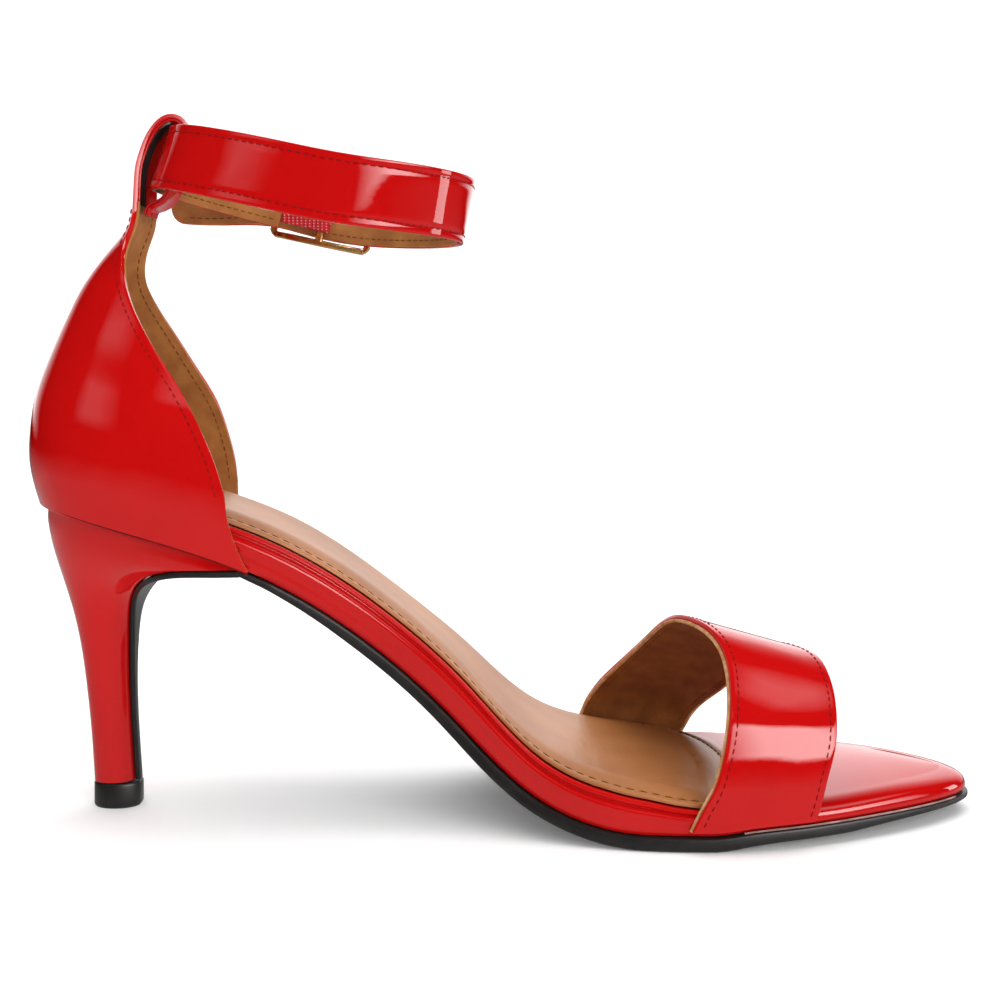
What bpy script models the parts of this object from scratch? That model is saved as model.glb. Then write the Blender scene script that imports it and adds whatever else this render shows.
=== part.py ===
"""A left strappy heeled sandal with a closed heel counter, a vamp strap and a buckled ankle strap.

The toe points along +X, the outer side of the foot is +Y and the floor is z = 0.
The origin is on the tread, under the ball of the foot. Lengths are in metres.
"""

import math

import bmesh
import bpy
import numpy as np

# Sole and heel
SOLE_LENGTH = 0.2245
BALL_WIDTH = 0.0760
HEEL_RISE = 0.0757
TOE_SPRING = 0.0017
BOARD_THICK = 0.0095
OUTSOLE_THICK = 0.0032
OUTSOLE_LIP = 0.0006
FLAP_THICK = 0.0012
HEEL_SEAT_LENGTH = 0.0502
HEEL_SEAT_WIDTH = 0.0470
HEEL_SEAT_INSET = 0.0010
TOP_PIECE_HEIGHT = 0.0059
TOP_PIECE_LIP = 0.0001
TOP_PIECE_ROUND = 0.0004
SOCK_THICK = 0.0022
SOCK_INSET = 0.0022
SOCK_REACH = 0.0165
SOCK_ROUND = 0.0140

# Counter, its loop and the vamp strap
COUNTER_LENGTH = 0.0520
COUNTER_LEAN = 0.0225
COUNTER_WALL = 0.0017
TAB_WIDTH = 0.0180
LOOP_DEPTH = 0.0105
LOOP_NARROW = 0.45
LOOP_SLACK_BELOW = 0.0037
LOOP_SLACK_ABOVE = 0.0007
STRAP_IN_LOOP = 0.505
VAMP_WALL = 0.0018
VAMP_CROWN_BACK = 0.0452
VAMP_CROWN_FRONT = 0.0377
VAMP_LIFT = 0.0013

# Ankle strap and buckle
ANKLE_RISE = 0.0829
ANKLE_DROP = 0.0128
ANKLE_LENGTH = 0.0750
ANKLE_WIDTH = 0.0570
STRAP_WIDTH = 0.0160
STRAP_THICK = 0.0020
STRAP_END_ROUND = 0.0058
BUCKLE_LENGTH = 0.0260
BUCKLE_BAR = 0.0017
BUCKLE_SIDE_ROOM = 0.0006
ELASTIC_WIDTH = 0.0125
ELASTIC_THICK = 0.0007
ELASTIC_SLOT = 0.0026
PRONG_THICK = 0.0012
PRONG_HOLE = 0.0034
SPARE_HOLE = 0.0020
SPARE_HOLE_SPACING = 0.0075

CLEARANCE = 0.0003

# Fineness of the faceted surfaces
OUTLINE_STEPS = 34
HEEL_RINGS = 20
HEEL_STEPS = 11
COUNTER_COLUMNS = 15
TAB_COLUMNS = 3
COUNTER_ROWS = 13
LOOP_ROWS = 18
VAMP_ROWS = 34
VAMP_COLUMNS = 5
STRAP_STATIONS = 84
SOCK_END_STEPS = 7
PRONG_STATIONS = 22

# The ball of the foot, where x = 0, as a share of the sole's length from the back of the heel
BALL_ALONG = 0.6757

# along: share of SOLE_LENGTH; inner and outer half-widths: shares of BALL_WIDTH
OUTLINE = (
    (0.000, 0.000, 0.000),
    (0.040, 0.232, 0.232),
    (0.120, 0.303, 0.308),
    (0.200, 0.305, 0.313),
    (0.280, 0.271, 0.318),
    (0.360, 0.240, 0.297),
    (0.440, 0.271, 0.325),
    (0.520, 0.366, 0.415),
    (0.600, 0.447, 0.475),
    (0.680, 0.479, 0.500),
    (0.760, 0.459, 0.453),
    (0.840, 0.382, 0.384),
    (0.920, 0.266, 0.276),
    (0.975, 0.150, 0.145),
    (1.000, 0.020, -0.020),
)
# along: share of SOLE_LENGTH; rise: share of the height from the ball up to the heel seat
ARCH = (
    (0.000, 1.000),
    (0.120, 0.903),
    (0.240, 0.772),
    (0.360, 0.532),
    (0.440, 0.318),
    (0.480, 0.198),
    (0.520, 0.100),
    (0.560, 0.040),
    (0.636, 0.000),
)
# along: share of SOLE_LENGTH; curl: share of TOE_SPRING
TOE_CURL = ((0.700, 0.0), (0.735, 0.45), (0.780, 0.75), (0.840, 0.88), (0.900, 0.95), (1.0, 0.80))
# along: share of SOLE_LENGTH; depth: share of BOARD_THICK, square to the board
BOARD_DEPTH = (
    (0.00, 0.85),
    (0.26, 0.84),
    (0.43, 0.82),
    (0.59, 0.83),
    (0.63, 0.76),
    (0.67, 0.60),
    (0.73, 0.47),
    (0.83, 0.42),
    (0.90, 0.44),
    (1.00, 0.42),
)
# inset and level of each line round the board's covered side, as shares of BOARD_THICK
BOARD_EDGE = (
    (0.060, 0.00),
    (0.015, 0.15),
    (0.000, 0.45),
    (0.037, 0.78),
    (0.095, 0.84),
    (0.021, 0.92),
    (0.126, 1.00),
    (0.253, 1.00),
)
# along: share of SOLE_LENGTH; depth: share of OUTSOLE_THICK, square to the sole
OUTSOLE_DEPTH = (
    (0.24, 0.50),
    (0.31, 0.72),
    (0.35, 0.83),
    (0.44, 0.88),
    (0.60, 0.98),
    (0.63, 1.00),
    (0.71, 1.00),
    (0.74, 0.95),
    (0.78, 0.88),
    (0.84, 0.86),
    (0.88, 0.68),
    (0.92, 0.55),
    (1.00, 0.38),
)
# level: share of the outsole's depth; outset: share of OUTSOLE_LIP
OUTSOLE_EDGE = ((0.0, 0.5), (0.2, 1.0), (0.75, 1.0), (1.0, 0.2))
# inset: share of SOCK_ROUND; level: share of SOCK_THICK
SOCK_EDGE = ((0.0, 0.0), (0.0, 0.28), (0.03, 0.46), (0.14, 0.74), (0.36, 1.0))
# Heel levels from its foot to its seat. back_x and front_x: shares of HEEL_SEAT_LENGTH;
# back_z and front_z: shares of HEEL_RISE; half: share of half HEEL_SEAT_WIDTH;
# seat: how far the section has become the sole's outline; sweep: degrees from the back to
# the edge of the flat breast
HEEL_LEVELS = (
    (0.215, 0.0823, 0.412, 0.0823, 0.213, 0.0, 164),
    (0.199, 0.2390, 0.397, 0.2324, 0.217, 0.0, 164),
    (0.179, 0.3718, 0.388, 0.3586, 0.230, 0.0, 164),
    (0.153, 0.5046, 0.386, 0.4781, 0.264, 0.0, 162),
    (0.112, 0.6375, 0.394, 0.6050, 0.340, 0.0, 156),
    (0.062, 0.7570, 0.424, 0.6880, 0.489, 0.0, 142),
    (0.026, 0.8499, 0.508, 0.7530, 0.681, 0.1, 122),
    (0.002, 0.9230, 0.666, 0.7920, 0.872, 0.4, 104),
    (-0.010, 0.9650, 0.850, 0.7985, 0.980, 0.8, 92),
    (0.020, 0.9960, 1.000, 0.7990, 1.000, 1.0, 90),
)
# height: share of the counter's height; lean: share of COUNTER_LEAN; girth: share of the
# sole's half-width that the counter keeps
COUNTER_SHAPE = (
    (0.000, 0.000, 1.000),
    (0.056, -0.053, 1.018),
    (0.139, -0.102, 1.040),
    (0.237, -0.093, 1.045),
    (0.335, -0.053, 1.016),
    (0.432, 0.040, 0.948),
    (0.530, 0.160, 0.815),
    (0.628, 0.298, 0.712),
    (0.725, 0.458, 0.610),
    (0.787, 0.600, 0.581),
    (0.819, 0.684, 0.639),
    (0.853, 0.779, 0.729),
    (0.886, 0.873, 0.833),
    (0.924, 0.945, 0.938),
    (0.964, 0.983, 1.005),
    (1.000, 1.000, 1.050),
)
# The topline below the tab's corner. height: share of the counter's height; inner and outer:
# how far forward it is on each side of the foot, as shares of COUNTER_LENGTH
TOPLINE = (
    (0.960, 0.456, 0.456),
    (0.920, 0.446, 0.446),
    (0.880, 0.427, 0.427),
    (0.840, 0.408, 0.408),
    (0.800, 0.398, 0.398),
    (0.760, 0.398, 0.398),
    (0.657, 0.440, 0.440),
    (0.545, 0.523, 0.523),
    (0.414, 0.642, 0.620),
    (0.317, 0.729, 0.690),
    (0.209, 0.810, 0.742),
    (0.121, 0.860, 0.772),
    (0.024, 0.898, 0.790),
)
COUNTER_FRONT = (1.000, 0.853)
# forward: share of LOOP_DEPTH; up: share of the loop's height. The loop narrows evenly to
# LOOP_NARROW of the tab's width
LOOP = (
    (0.000, 0.000),
    (0.020, 0.250),
    (0.055, 0.450),
    (0.125, 0.590),
    (0.255, 0.775),
    (0.405, 0.907),
    (0.590, 1.000),
    (0.720, 1.020),
    (0.880, 0.990),
    (0.960, 0.930),
    (0.920, 0.770),
    (0.835, 0.570),
    (0.690, 0.310),
    (0.510, 0.110),
    (0.290, 0.030),
    (0.120, -0.030),
    (0.065, -0.130),
)
# across: share of the sole's half-width, the inner side negative; height: share of the
# strap's crown; back and front edges: shares of SOLE_LENGTH
VAMP_ARCH = (
    (-1.000, 0.000, 0.6788, 0.8027),
    (-1.000, 0.140, 0.6913, 0.8094),
    (-1.000, 0.270, 0.7029, 0.8143),
    (-0.970, 0.460, 0.7127, 0.8236),
    (-0.900, 0.630, 0.7185, 0.8290),
    (-0.750, 0.785, 0.7216, 0.8321),
    (-0.570, 0.907, 0.7189, 0.8316),
    (-0.370, 0.980, 0.7087, 0.8272),
    (-0.140, 1.000, 0.6944, 0.8138),
    (0.110, 0.960, 0.6788, 0.7960),
    (0.400, 0.805, 0.6619, 0.7804),
    (0.610, 0.650, 0.6437, 0.7693),
    (0.780, 0.500, 0.6236, 0.7559),
    (0.915, 0.385, 0.6110, 0.7440),
    (1.000, 0.260, 0.5990, 0.7300),
    (1.000, 0.130, 0.5900, 0.7180),
    (1.000, 0.000, 0.5822, 0.7069),
)
# forward: share of ANKLE_LENGTH; height: share of ANKLE_DROP; lean of the strap, in degrees
ANKLE_SLOPE = (
    (0.00, 1.0000, 20.0),
    (0.39, 0.4530, 15.0),
    (0.59, 0.2030, 13.0),
    (0.79, 0.0625, 12.0),
    (1.00, 0.0000, 11.0),
)
# forward: share of ANKLE_LENGTH; across: share of half ANKLE_WIDTH, the outer side positive
ANKLE_PLAN = (
    (0.36, 0.860),
    (0.22, 0.760),
    (0.10, 0.560),
    (0.03, 0.300),
    (0.00, 0.000),
    (0.03, -0.300),
    (0.10, -0.580),
    (0.22, -0.800),
    (0.40, -0.960),
    (0.60, -1.000),
    (0.78, -0.900),
    (0.92, -0.580),
    (0.99, -0.180),
    (0.98, 0.220),
    (0.88, 0.580),
    (0.76, 0.790),
)
# The buckled side of the ankle, where the strap's layers lie on each other
BUCKLED_SIDE = ((0.33, 0.840), (0.49, 0.900), (0.65, 0.875))
# The strap's free end; droop: share of STRAP_WIDTH
STRAP_TAIL = ((0.163, 0.947, 0.170), (0.060, 0.890, 0.290), (-0.035, 0.825, 0.360))
BUCKLE_FORWARD = 0.500

HEEL_BACK = -BALL_ALONG * SOLE_LENGTH
BALL_HEIGHT = OUTSOLE_THICK + CLEARANCE
TAB_X = HEEL_BACK - CLEARANCE + COUNTER_LEAN
ANKLE_X = TAB_X + STRAP_IN_LOOP * LOOP_DEPTH
ANKLE_BACK_Z = HEEL_RISE + ANKLE_RISE
STRAP_RISE = STRAP_WIDTH / 2 * math.cos(math.radians(ANKLE_SLOPE[0][2]))
TAB_TOP = ANKLE_BACK_Z - STRAP_RISE - LOOP_SLACK_BELOW
LOOP_HEIGHT = 2 * STRAP_RISE + LOOP_SLACK_BELOW + LOOP_SLACK_ABOVE
COUNTER_HEIGHT = TAB_TOP - HEEL_RISE
STRAP_LAYER = STRAP_THICK + 1.2 * CLEARANCE
BAR_CORNER = BUCKLE_BAR / 2 * math.sqrt(2)
CENTRE_LIFT = BAR_CORNER + ELASTIC_THICK + STRAP_THICK / 2 + 2.5 * CLEARANCE
END_BAR_LEVEL = STRAP_LAYER + (BUCKLE_BAR + STRAP_THICK) / 2 + 2 * CLEARANCE
BUCKLE_X = ANKLE_X + BUCKLE_FORWARD * ANKLE_LENGTH

COLOURS = {
    "patent_red": ((0.58, 0.006, 0.010), 0.08, 0.0),
    "lining_tan": ((0.46, 0.27, 0.12), 0.60, 0.0),
    "black_sole": ((0.012, 0.012, 0.012), 0.35, 0.0),
    "gold_metal": ((0.80, 0.52, 0.22), 0.20, 1.0),
    "elastic_red": ((0.50, 0.012, 0.018), 0.70, 0.0),
}


def cubic(knots, values, start=None, end=None):
    """A smooth curve through the values, with no bend at an end that has no slope given."""
    knots = np.asarray(knots, float)
    values = np.asarray(values, float)
    steps = np.diff(knots)
    slopes = np.diff(values) / steps
    count = len(knots)
    matrix = np.zeros((count, count))
    wanted = np.zeros(count)
    for i in range(1, count - 1):
        matrix[i, i - 1 : i + 2] = steps[i - 1], 2 * (steps[i - 1] + steps[i]), steps[i]
        wanted[i] = 6 * (slopes[i] - slopes[i - 1])
    matrix[0, 0] = matrix[-1, -1] = 1.0
    if start is not None:
        matrix[0, :2] = 2 * steps[0], steps[0]
        wanted[0] = 6 * (slopes[0] - start)
    if end is not None:
        matrix[-1, -2:] = steps[-1], 2 * steps[-1]
        wanted[-1] = 6 * (end - slopes[-1])
    bends = np.linalg.solve(matrix, wanted)

    def curve(at):
        i = min(max(int(np.searchsorted(knots, at)) - 1, 0), count - 2)
        right = (at - knots[i]) / steps[i]
        left = 1 - right
        bow = (left**3 - left) * bends[i] + (right**3 - right) * bends[i + 1]
        return left * values[i] + right * values[i + 1] + bow * steps[i] ** 2 / 6

    return curve


def steady(rows):
    """A curve through (at, value) rows that never passes them, level where two are alike."""
    knots, values = np.array(rows, float).T
    steps = np.diff(knots)
    slopes = np.diff(values) / steps
    grades = np.concatenate([slopes[:1], np.zeros(len(knots) - 2), slopes[-1:]])
    for i in range(1, len(knots) - 1):
        if slopes[i - 1] * slopes[i] > 0:
            grades[i] = 2 * slopes[i - 1] * slopes[i] / (slopes[i - 1] + slopes[i])

    def curve(at):
        at = min(max(at, knots[0]), knots[-1])
        i = min(max(int(np.searchsorted(knots, at)) - 1, 0), len(steps) - 1)
        t = (at - knots[i]) / steps[i]
        rise = values[i + 1] - values[i]
        ease = t * t * (3 - 2 * t)
        lead = (t - 2 * t * t + t**3) * grades[i] + (t**3 - t * t) * grades[i + 1]
        return values[i] + rise * ease + lead * steps[i]

    return curve


def columns(rows, *picked):
    """Smooth curves over a table's rows, one for each picked column, with the rows at 0 to 1."""
    table = np.array(rows, float)
    at = np.linspace(0, 1, len(table))
    return [cubic(at, table[:, column]) for column in picked]


def route(points):
    """A smooth curve through points in space, by their distance, from 0 to 1."""
    points = np.array(points, float)
    gone = np.concatenate([[0], np.cumsum(np.linalg.norm(np.diff(points, axis=0), axis=1))])
    parts = [cubic(gone / gone[-1], points[:, axis]) for axis in range(points.shape[1])]
    return lambda at: np.array([part(at) for part in parts])


def turn_of(along):
    """How far round the sole's side a share of its length is, from heel 0 to toe 1."""
    return math.acos(min(max(1 - 2 * along, -1), 1)) / math.pi


TURNS = [turn_of(row[0]) for row in OUTLINE]
HALF_WIDTH = {
    -1: cubic(TURNS, [row[1] * BALL_WIDTH for row in OUTLINE]),
    1: cubic(TURNS, [row[2] * BALL_WIDTH for row in OUTLINE]),
}
arch_rise = cubic([row[0] for row in ARCH], [row[1] for row in ARCH], end=0.0)
toe_curl = cubic([row[0] for row in TOE_CURL], [row[1] for row in TOE_CURL], start=0.0)
board_depth = steady(BOARD_DEPTH)
outsole_depth = steady(OUTSOLE_DEPTH)
ankle_height = cubic([row[0] for row in ANKLE_SLOPE], [row[1] for row in ANKLE_SLOPE])
ankle_lean = cubic([row[0] for row in ANKLE_SLOPE], [row[2] for row in ANKLE_SLOPE])
buckled_side = cubic([row[0] for row in BUCKLED_SIDE], [row[1] for row in BUCKLED_SIDE])
counter_heights = [row[0] for row in COUNTER_SHAPE]
counter_lean = cubic(counter_heights, [row[1] for row in COUNTER_SHAPE])
counter_girth = cubic(counter_heights, [row[2] for row in COUNTER_SHAPE])


def along_of(x):
    return (x - HEEL_BACK) / SOLE_LENGTH


def feather(x):
    """Height of the feather line, where the board's underside meets heel and outsole."""
    along = along_of(x)
    height = BALL_HEIGHT
    if along < ARCH[-1][0]:
        height += arch_rise(along) * (HEEL_RISE - BALL_HEIGHT)
    if along > TOE_CURL[0][0]:
        height += toe_curl(along) * TOE_SPRING
    return height


def steepness(x):
    """How much longer the feather line is than its plan, at x."""
    reach = 0.009 * SOLE_LENGTH
    return math.hypot(1.0, (feather(x + reach) - feather(x - reach)) / (2 * reach))


def board_height(x):
    return BOARD_THICK * board_depth(along_of(x)) * steepness(x)


def side_point(side, turn, inset=0.0):
    """A point of the sole's outline in plan, moved inwards by the inset."""

    def at(share):
        x = HEEL_BACK + SOLE_LENGTH * (1 - math.cos(math.pi * share)) / 2
        return np.array([x, side * HALF_WIDTH[side](share)])

    reach = 0.002
    before, after = at(max(turn - reach, 0)), at(min(turn + reach, 1))
    if turn < reach:
        before = at(reach) * (1, -1)
    if turn > 1 - reach:
        after = np.array([at(1 - reach)[0], 2 * at(1)[1] - at(1 - reach)[1]])
    run = after - before
    inward = side * np.array([run[1], -run[0]]) / np.linalg.norm(run)
    return at(turn) + inset * inward


def half_width_at(side, x):
    return HALF_WIDTH[side](turn_of(along_of(x)))


def material(name):
    made = bpy.data.materials.get(name) or bpy.data.materials.new(name)
    colour, roughness, metallic = COLOURS[name]
    made.use_nodes = True
    shader = made.node_tree.nodes["Principled BSDF"]
    shader.inputs["Base Color"].default_value = (*colour, 1.0)
    shader.inputs["Roughness"].default_value = roughness
    shader.inputs["Metallic"].default_value = metallic
    return made


def add_object(name, points, faces, finish=None, facing_out=True, crease=40):
    mesh = bpy.data.meshes.new(name)
    mesh.from_pydata([tuple(float(v) for v in point) for point in points], [], faces)
    if facing_out:
        form = bmesh.new()
        form.from_mesh(mesh)
        bmesh.ops.recalc_face_normals(form, faces=form.faces)
        form.to_mesh(mesh)
        form.free()
    mesh.shade_smooth()
    mesh.set_sharp_from_angle(angle=math.radians(crease))
    made = bpy.data.objects.new(name, mesh)
    bpy.context.scene.collection.objects.link(made)
    if finish:
        mesh.materials.append(material(finish))
    return made


def rungs(count, pointed):
    """Faces that close a ring by joining its two sides, from its tip or its open end."""
    faces = []
    for k in range(count):
        far = count - k if pointed else count - 1 - k
        if k + 1 > far - 1:
            break
        corners = list(dict.fromkeys([k, k + 1, far - 1, far % count]))
        faces.append(corners)
    return faces


def loft(name, rings, finish, pointed=True):
    """A closed solid through rings that all have as many points."""
    count = len(rings[0])
    points = [point for ring in rings for point in ring]
    faces = []
    for ring in range(len(rings) - 1):
        low, high = ring * count, (ring + 1) * count
        for k in range(count):
            after = (k + 1) % count
            faces.append([low + k, low + after, high + after, high + k])
    for face in rungs(count, pointed):
        faces.append(list(reversed(face)))
        faces.append([(len(rings) - 1) * count + k for k in face])
    return add_object(name, points, faces, finish)


def thicken(sheet, wall):
    """Gives an open sheet its wall, on the side that its faces look to."""
    solid = sheet.modifiers.new("wall", "SOLIDIFY")
    solid.thickness = wall
    solid.offset = 1.0
    return sheet


def both_sides(points_of):
    """A ring round the sole: back of the heel, outer side, toe, inner side."""
    outer = [points_of(1, k / OUTLINE_STEPS) for k in range(OUTLINE_STEPS + 1)]
    inner = [points_of(-1, k / OUTLINE_STEPS) for k in range(1, OUTLINE_STEPS)]
    return outer + inner[::-1]


def make_board():
    """The insole board with the bead of its cover round the edge."""
    rings = []
    for inset, level in BOARD_EDGE:

        def point(side, turn):
            x, y = side_point(side, turn, inset * BOARD_THICK)
            return x, y, feather(x) + level * board_height(x)

        rings.append(both_sides(point))
    return loft("insole_board", rings, "patent_red")


def sock_side(side, inset):
    """One side of the sock lining in plan, from heel to its round front end."""
    bend_x = SOCK_REACH - SOCK_ROUND
    points = []
    for k in range(OUTLINE_STEPS + 1):
        turn = k / OUTLINE_STEPS
        if side_point(side, turn)[0] < bend_x - 0.2 * SOCK_ROUND:
            points.append(side_point(side, turn, SOCK_INSET + inset))
    for k in range(SOCK_END_STEPS + 1):
        angle = math.pi / 2 * k / SOCK_END_STEPS
        x = bend_x + (SOCK_ROUND - inset) * math.sin(angle)
        y = (half_width_at(side, x) - SOCK_INSET - inset) * math.cos(angle)
        points.append(np.array([x, side * y]))
    return points


def make_sock():
    rings = []
    for inset, level in SOCK_EDGE:
        outer = sock_side(1, inset * SOCK_ROUND)
        inner = sock_side(-1, inset * SOCK_ROUND)[1:-1]
        ring = []
        for x, y in outer + inner[::-1]:
            z = feather(x) + board_height(x) + 1.5 * CLEARANCE + level * SOCK_THICK
            ring.append((x, y, z))
        rings.append(ring)
    return loft("sock_lining", rings, "lining_tan")


HEEL_CURVES = columns(HEEL_LEVELS, 0, 1, 2, 3, 4, 5, 6)


def heel_ring(level, grow=0.0):
    """One level of the heel block: round at the back and flat at the breast."""
    back_x, back_z, front_x, front_z, half, seat, sweep = (c(level) for c in HEEL_CURVES)
    seat = min(max(seat, 0.0), 1.0)
    sweep = math.radians(max(sweep, 90.0))
    back_x = HEEL_BACK + back_x * HEEL_SEAT_LENGTH - grow
    front_x = HEEL_BACK + front_x * HEEL_SEAT_LENGTH + grow
    half = half * HEEL_SEAT_WIDTH / 2 + grow
    points = {-1: [], 1: []}
    for side in points:
        for k in range(HEEL_STEPS + 1):
            angle = sweep * k / HEEL_STEPS
            forward = (1 - math.cos(angle)) / (1 - math.cos(sweep))
            x = back_x + (front_x - back_x) * forward
            outline = half_width_at(side, x) - HEEL_SEAT_INSET * math.sin(angle)
            y = (1 - seat) * half * math.sin(angle) ** 0.9 + seat * outline * (k > 0)
            z = (back_z + (front_z - back_z) * forward) * HEEL_RISE
            if level >= 1:
                z = feather(x) - CLEARANCE
            points[side].append((x, side * y, z))
    return points[1] + points[-1][:0:-1]


def heel_levels():
    return [k / (HEEL_RINGS - 1) for k in range(HEEL_RINGS)]


def make_heel():
    return loft("heel_block", [heel_ring(level) for level in heel_levels()], "patent_red")


def make_top_piece():
    """The wear piece on the floor, its front reaching under the outsole's flap."""
    foot = heel_ring(0.0, TOP_PIECE_LIP)
    front = max(x for x, y, z in foot)
    reach = FLAP_THICK + CLEARANCE
    rings = []
    for height, inset in ((0.0, 0.5), (0.12, 0.0), (0.9, 0.0), (1.0, 0.6)):
        ring = []
        for x, y, z in foot:
            x += reach * (x - foot[0][0]) / (front - foot[0][0])
            middle = (foot[0][0] + front + reach) / 2
            shrink = 1 - inset * TOP_PIECE_ROUND / (HEEL_SEAT_WIDTH * HEEL_LEVELS[0][4] / 2)
            x = middle + (x - middle) * shrink
            ring.append((x, y * shrink, height * TOP_PIECE_HEIGHT))
        rings.append(ring)
    return loft("top_piece", rings, "black_sole")


def sole_stations():
    """The outsole's run in profile, from the foot of the heel's breast to the toe.

    Each station has x, z, depth, and the plan point of each side for an outset.
    """
    stations = []
    join = outsole_depth(0) * OUTSOLE_THICK
    for level in heel_levels():
        ring = heel_ring(level)
        front = {1: ring[HEEL_STEPS], -1: ring[HEEL_STEPS + 1]}
        depth = FLAP_THICK + (join - FLAP_THICK) * level**2
        stations.append((front[1][0], front[1][2], depth, front, None))
    start = stations[-1][0] + 0.08 * HEEL_SEAT_LENGTH
    for k in range(OUTLINE_STEPS + 1):
        turn = k / OUTLINE_STEPS
        x = side_point(1, turn)[0]
        if x > start:
            depth = outsole_depth(along_of(x)) * OUTSOLE_THICK
            stations.append((x, feather(x), depth, None, turn))
    return stations


def make_outsole():
    stations = sole_stations()
    line = np.array([station[:2] for station in stations])
    runs = np.gradient(line, axis=0)
    runs /= np.linalg.norm(runs, axis=1)[:, None]
    runs[0] = (0, 1)
    runs[-1] = runs[-2]
    away = np.stack([runs[:, 1], -runs[:, 0]], axis=1)
    rings = []
    for level, share in OUTSOLE_EDGE:
        outset = share * OUTSOLE_LIP
        sides = {-1: [], 1: []}
        for side in sides:
            for (x, z, depth, front, turn), (away_x, away_z) in zip(stations, away):
                if front:
                    plan = (x, front[side][1] + side * (outset - OUTSOLE_LIP))
                else:
                    plan = side_point(side, turn, -outset)
                gone = CLEARANCE + level * depth
                sides[side].append((plan[0] + away_x * gone, plan[1], z + away_z * gone))
        rings.append(sides[1] + sides[-1][-2::-1])
    return loft("outsole", rings, "black_sole", pointed=False)


def counter_point(side, depth, z):
    """The counter's inner face, by the distance round from its back and the height."""
    height = (z - feather(HEEL_BACK + depth)) / COUNTER_HEIGHT
    plan = side_point(side, turn_of(depth / SOLE_LENGTH), -CLEARANCE)
    x = plan[0] + counter_lean(height) * COUNTER_LEAN
    return np.array([x, plan[1] * counter_girth(height), z])


def depth_of(x, z):
    """How far round from the back a point of the counter's profile is."""
    depth = x - HEEL_BACK
    for _ in range(60):
        height = (z - feather(HEEL_BACK + depth)) / COUNTER_HEIGHT
        wanted = x - HEEL_BACK + CLEARANCE - counter_lean(height) * COUNTER_LEAN
        depth = max((depth + wanted) / 2, 0.0)
    return depth


def tab_depth(half):
    """How far round from the back the tab's top reaches for a half-width."""
    low, high = 0.0, 0.2 * COUNTER_LENGTH
    for _ in range(40):
        middle = (low + high) / 2
        wide = abs(counter_point(1, middle, TAB_TOP)[1])
        low, high = (middle, high) if wide < half else (low, middle)
    return low


def counter_columns(side):
    """The counter's columns on one side, from the back: square roots of depths, and tops."""
    reach = COUNTER_FRONT[0 if side < 0 else 1] * COUNTER_LENGTH
    rows = [tuple(counter_point(side, tab_depth(TAB_WIDTH / 2), TAB_TOP)[[0, 2]])]
    for row in TOPLINE:
        x = HEEL_BACK + row[1 if side < 0 else 2] * COUNTER_LENGTH
        rows.append((x, HEEL_RISE + row[0] * COUNTER_HEIGHT))
    topline = route(rows)
    made = []
    for k in range(COUNTER_COLUMNS + 1):
        foot = math.sqrt(reach) * k / COUNTER_COLUMNS
        if k <= TAB_COLUMNS:
            top = math.sqrt(tab_depth(TAB_WIDTH / 2 * k / TAB_COLUMNS)), TAB_TOP
        else:
            x, z = topline((k - TAB_COLUMNS) / (COUNTER_COLUMNS - TAB_COLUMNS))
            top = math.sqrt(depth_of(x, z)), z
        made.append((foot, top[0], top[1]))
    return made


def make_counter():
    """The closed back of the sandal, with a tab that folds over into the strap's loop."""
    inner, outer = counter_columns(-1), counter_columns(1)
    fans = [(-1, *fan) for fan in inner[:0:-1]] + [(1, *fan) for fan in outer]
    points = []
    for side, foot, top, top_z in fans:
        foot_z = feather(HEEL_BACK + foot**2)
        for row in range(COUNTER_ROWS + 1):
            share = row / COUNTER_ROWS
            root = foot + (top - foot) * share
            points.append(counter_point(side, root**2, foot_z + (top_z - foot_z) * share))
    rows = COUNTER_ROWS + 1
    faces = []
    for column in range(len(fans) - 1):
        for row in range(COUNTER_ROWS):
            low = column * rows + row
            faces.append([low, low + 1, low + rows + 1, low + rows])
    first = COUNTER_COLUMNS - TAB_COLUMNS
    tab = [(first + k) * rows + COUNTER_ROWS for k in range(2 * TAB_COLUMNS + 1)]
    fold = route(LOOP)
    last = tab
    for row in range(1, LOOP_ROWS + 1):
        forward, up = fold(row / LOOP_ROWS)
        wide = 1 - (1 - LOOP_NARROW) * row / LOOP_ROWS
        middle = points[tab[TAB_COLUMNS]]
        fresh = []
        for corner in tab:
            fresh.append(len(points))
            place = middle + (points[corner] - middle) * wide
            points.append(place + (forward * LOOP_DEPTH, 0, up * LOOP_HEIGHT))
        for k in range(len(tab) - 1):
            faces.append([last[k], fresh[k], fresh[k + 1], last[k + 1]])
        last = fresh
    return thicken(add_object("counter", points, faces, "patent_red", False), COUNTER_WALL)


def make_vamp_strap():
    across, height, back, front = columns(VAMP_ARCH, 0, 1, 2, 3)
    points, faces = [], []
    for row in range(VAMP_ROWS + 1):
        at = row / VAMP_ROWS
        for column in range(VAMP_COLUMNS + 1):
            share = column / VAMP_COLUMNS
            x = HEEL_BACK + SOLE_LENGTH * (back(at) + (front(at) - back(at)) * share)
            side = 1 if across(at) > 0 else -1
            y = across(at) * (half_width_at(side, x) + CLEARANCE)
            low = feather(x) + VAMP_LIFT
            crown = VAMP_CROWN_BACK + (VAMP_CROWN_FRONT - VAMP_CROWN_BACK) * share
            points.append((x, y, low + height(at) * (crown - low)))
            if row and column:
                k = len(points) - 1
                beside = k - VAMP_COLUMNS - 1
                faces.append([beside - 1, beside, k, k - 1])
    return thicken(add_object("vamp_strap", points, faces, "patent_red", False), VAMP_WALL)


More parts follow.
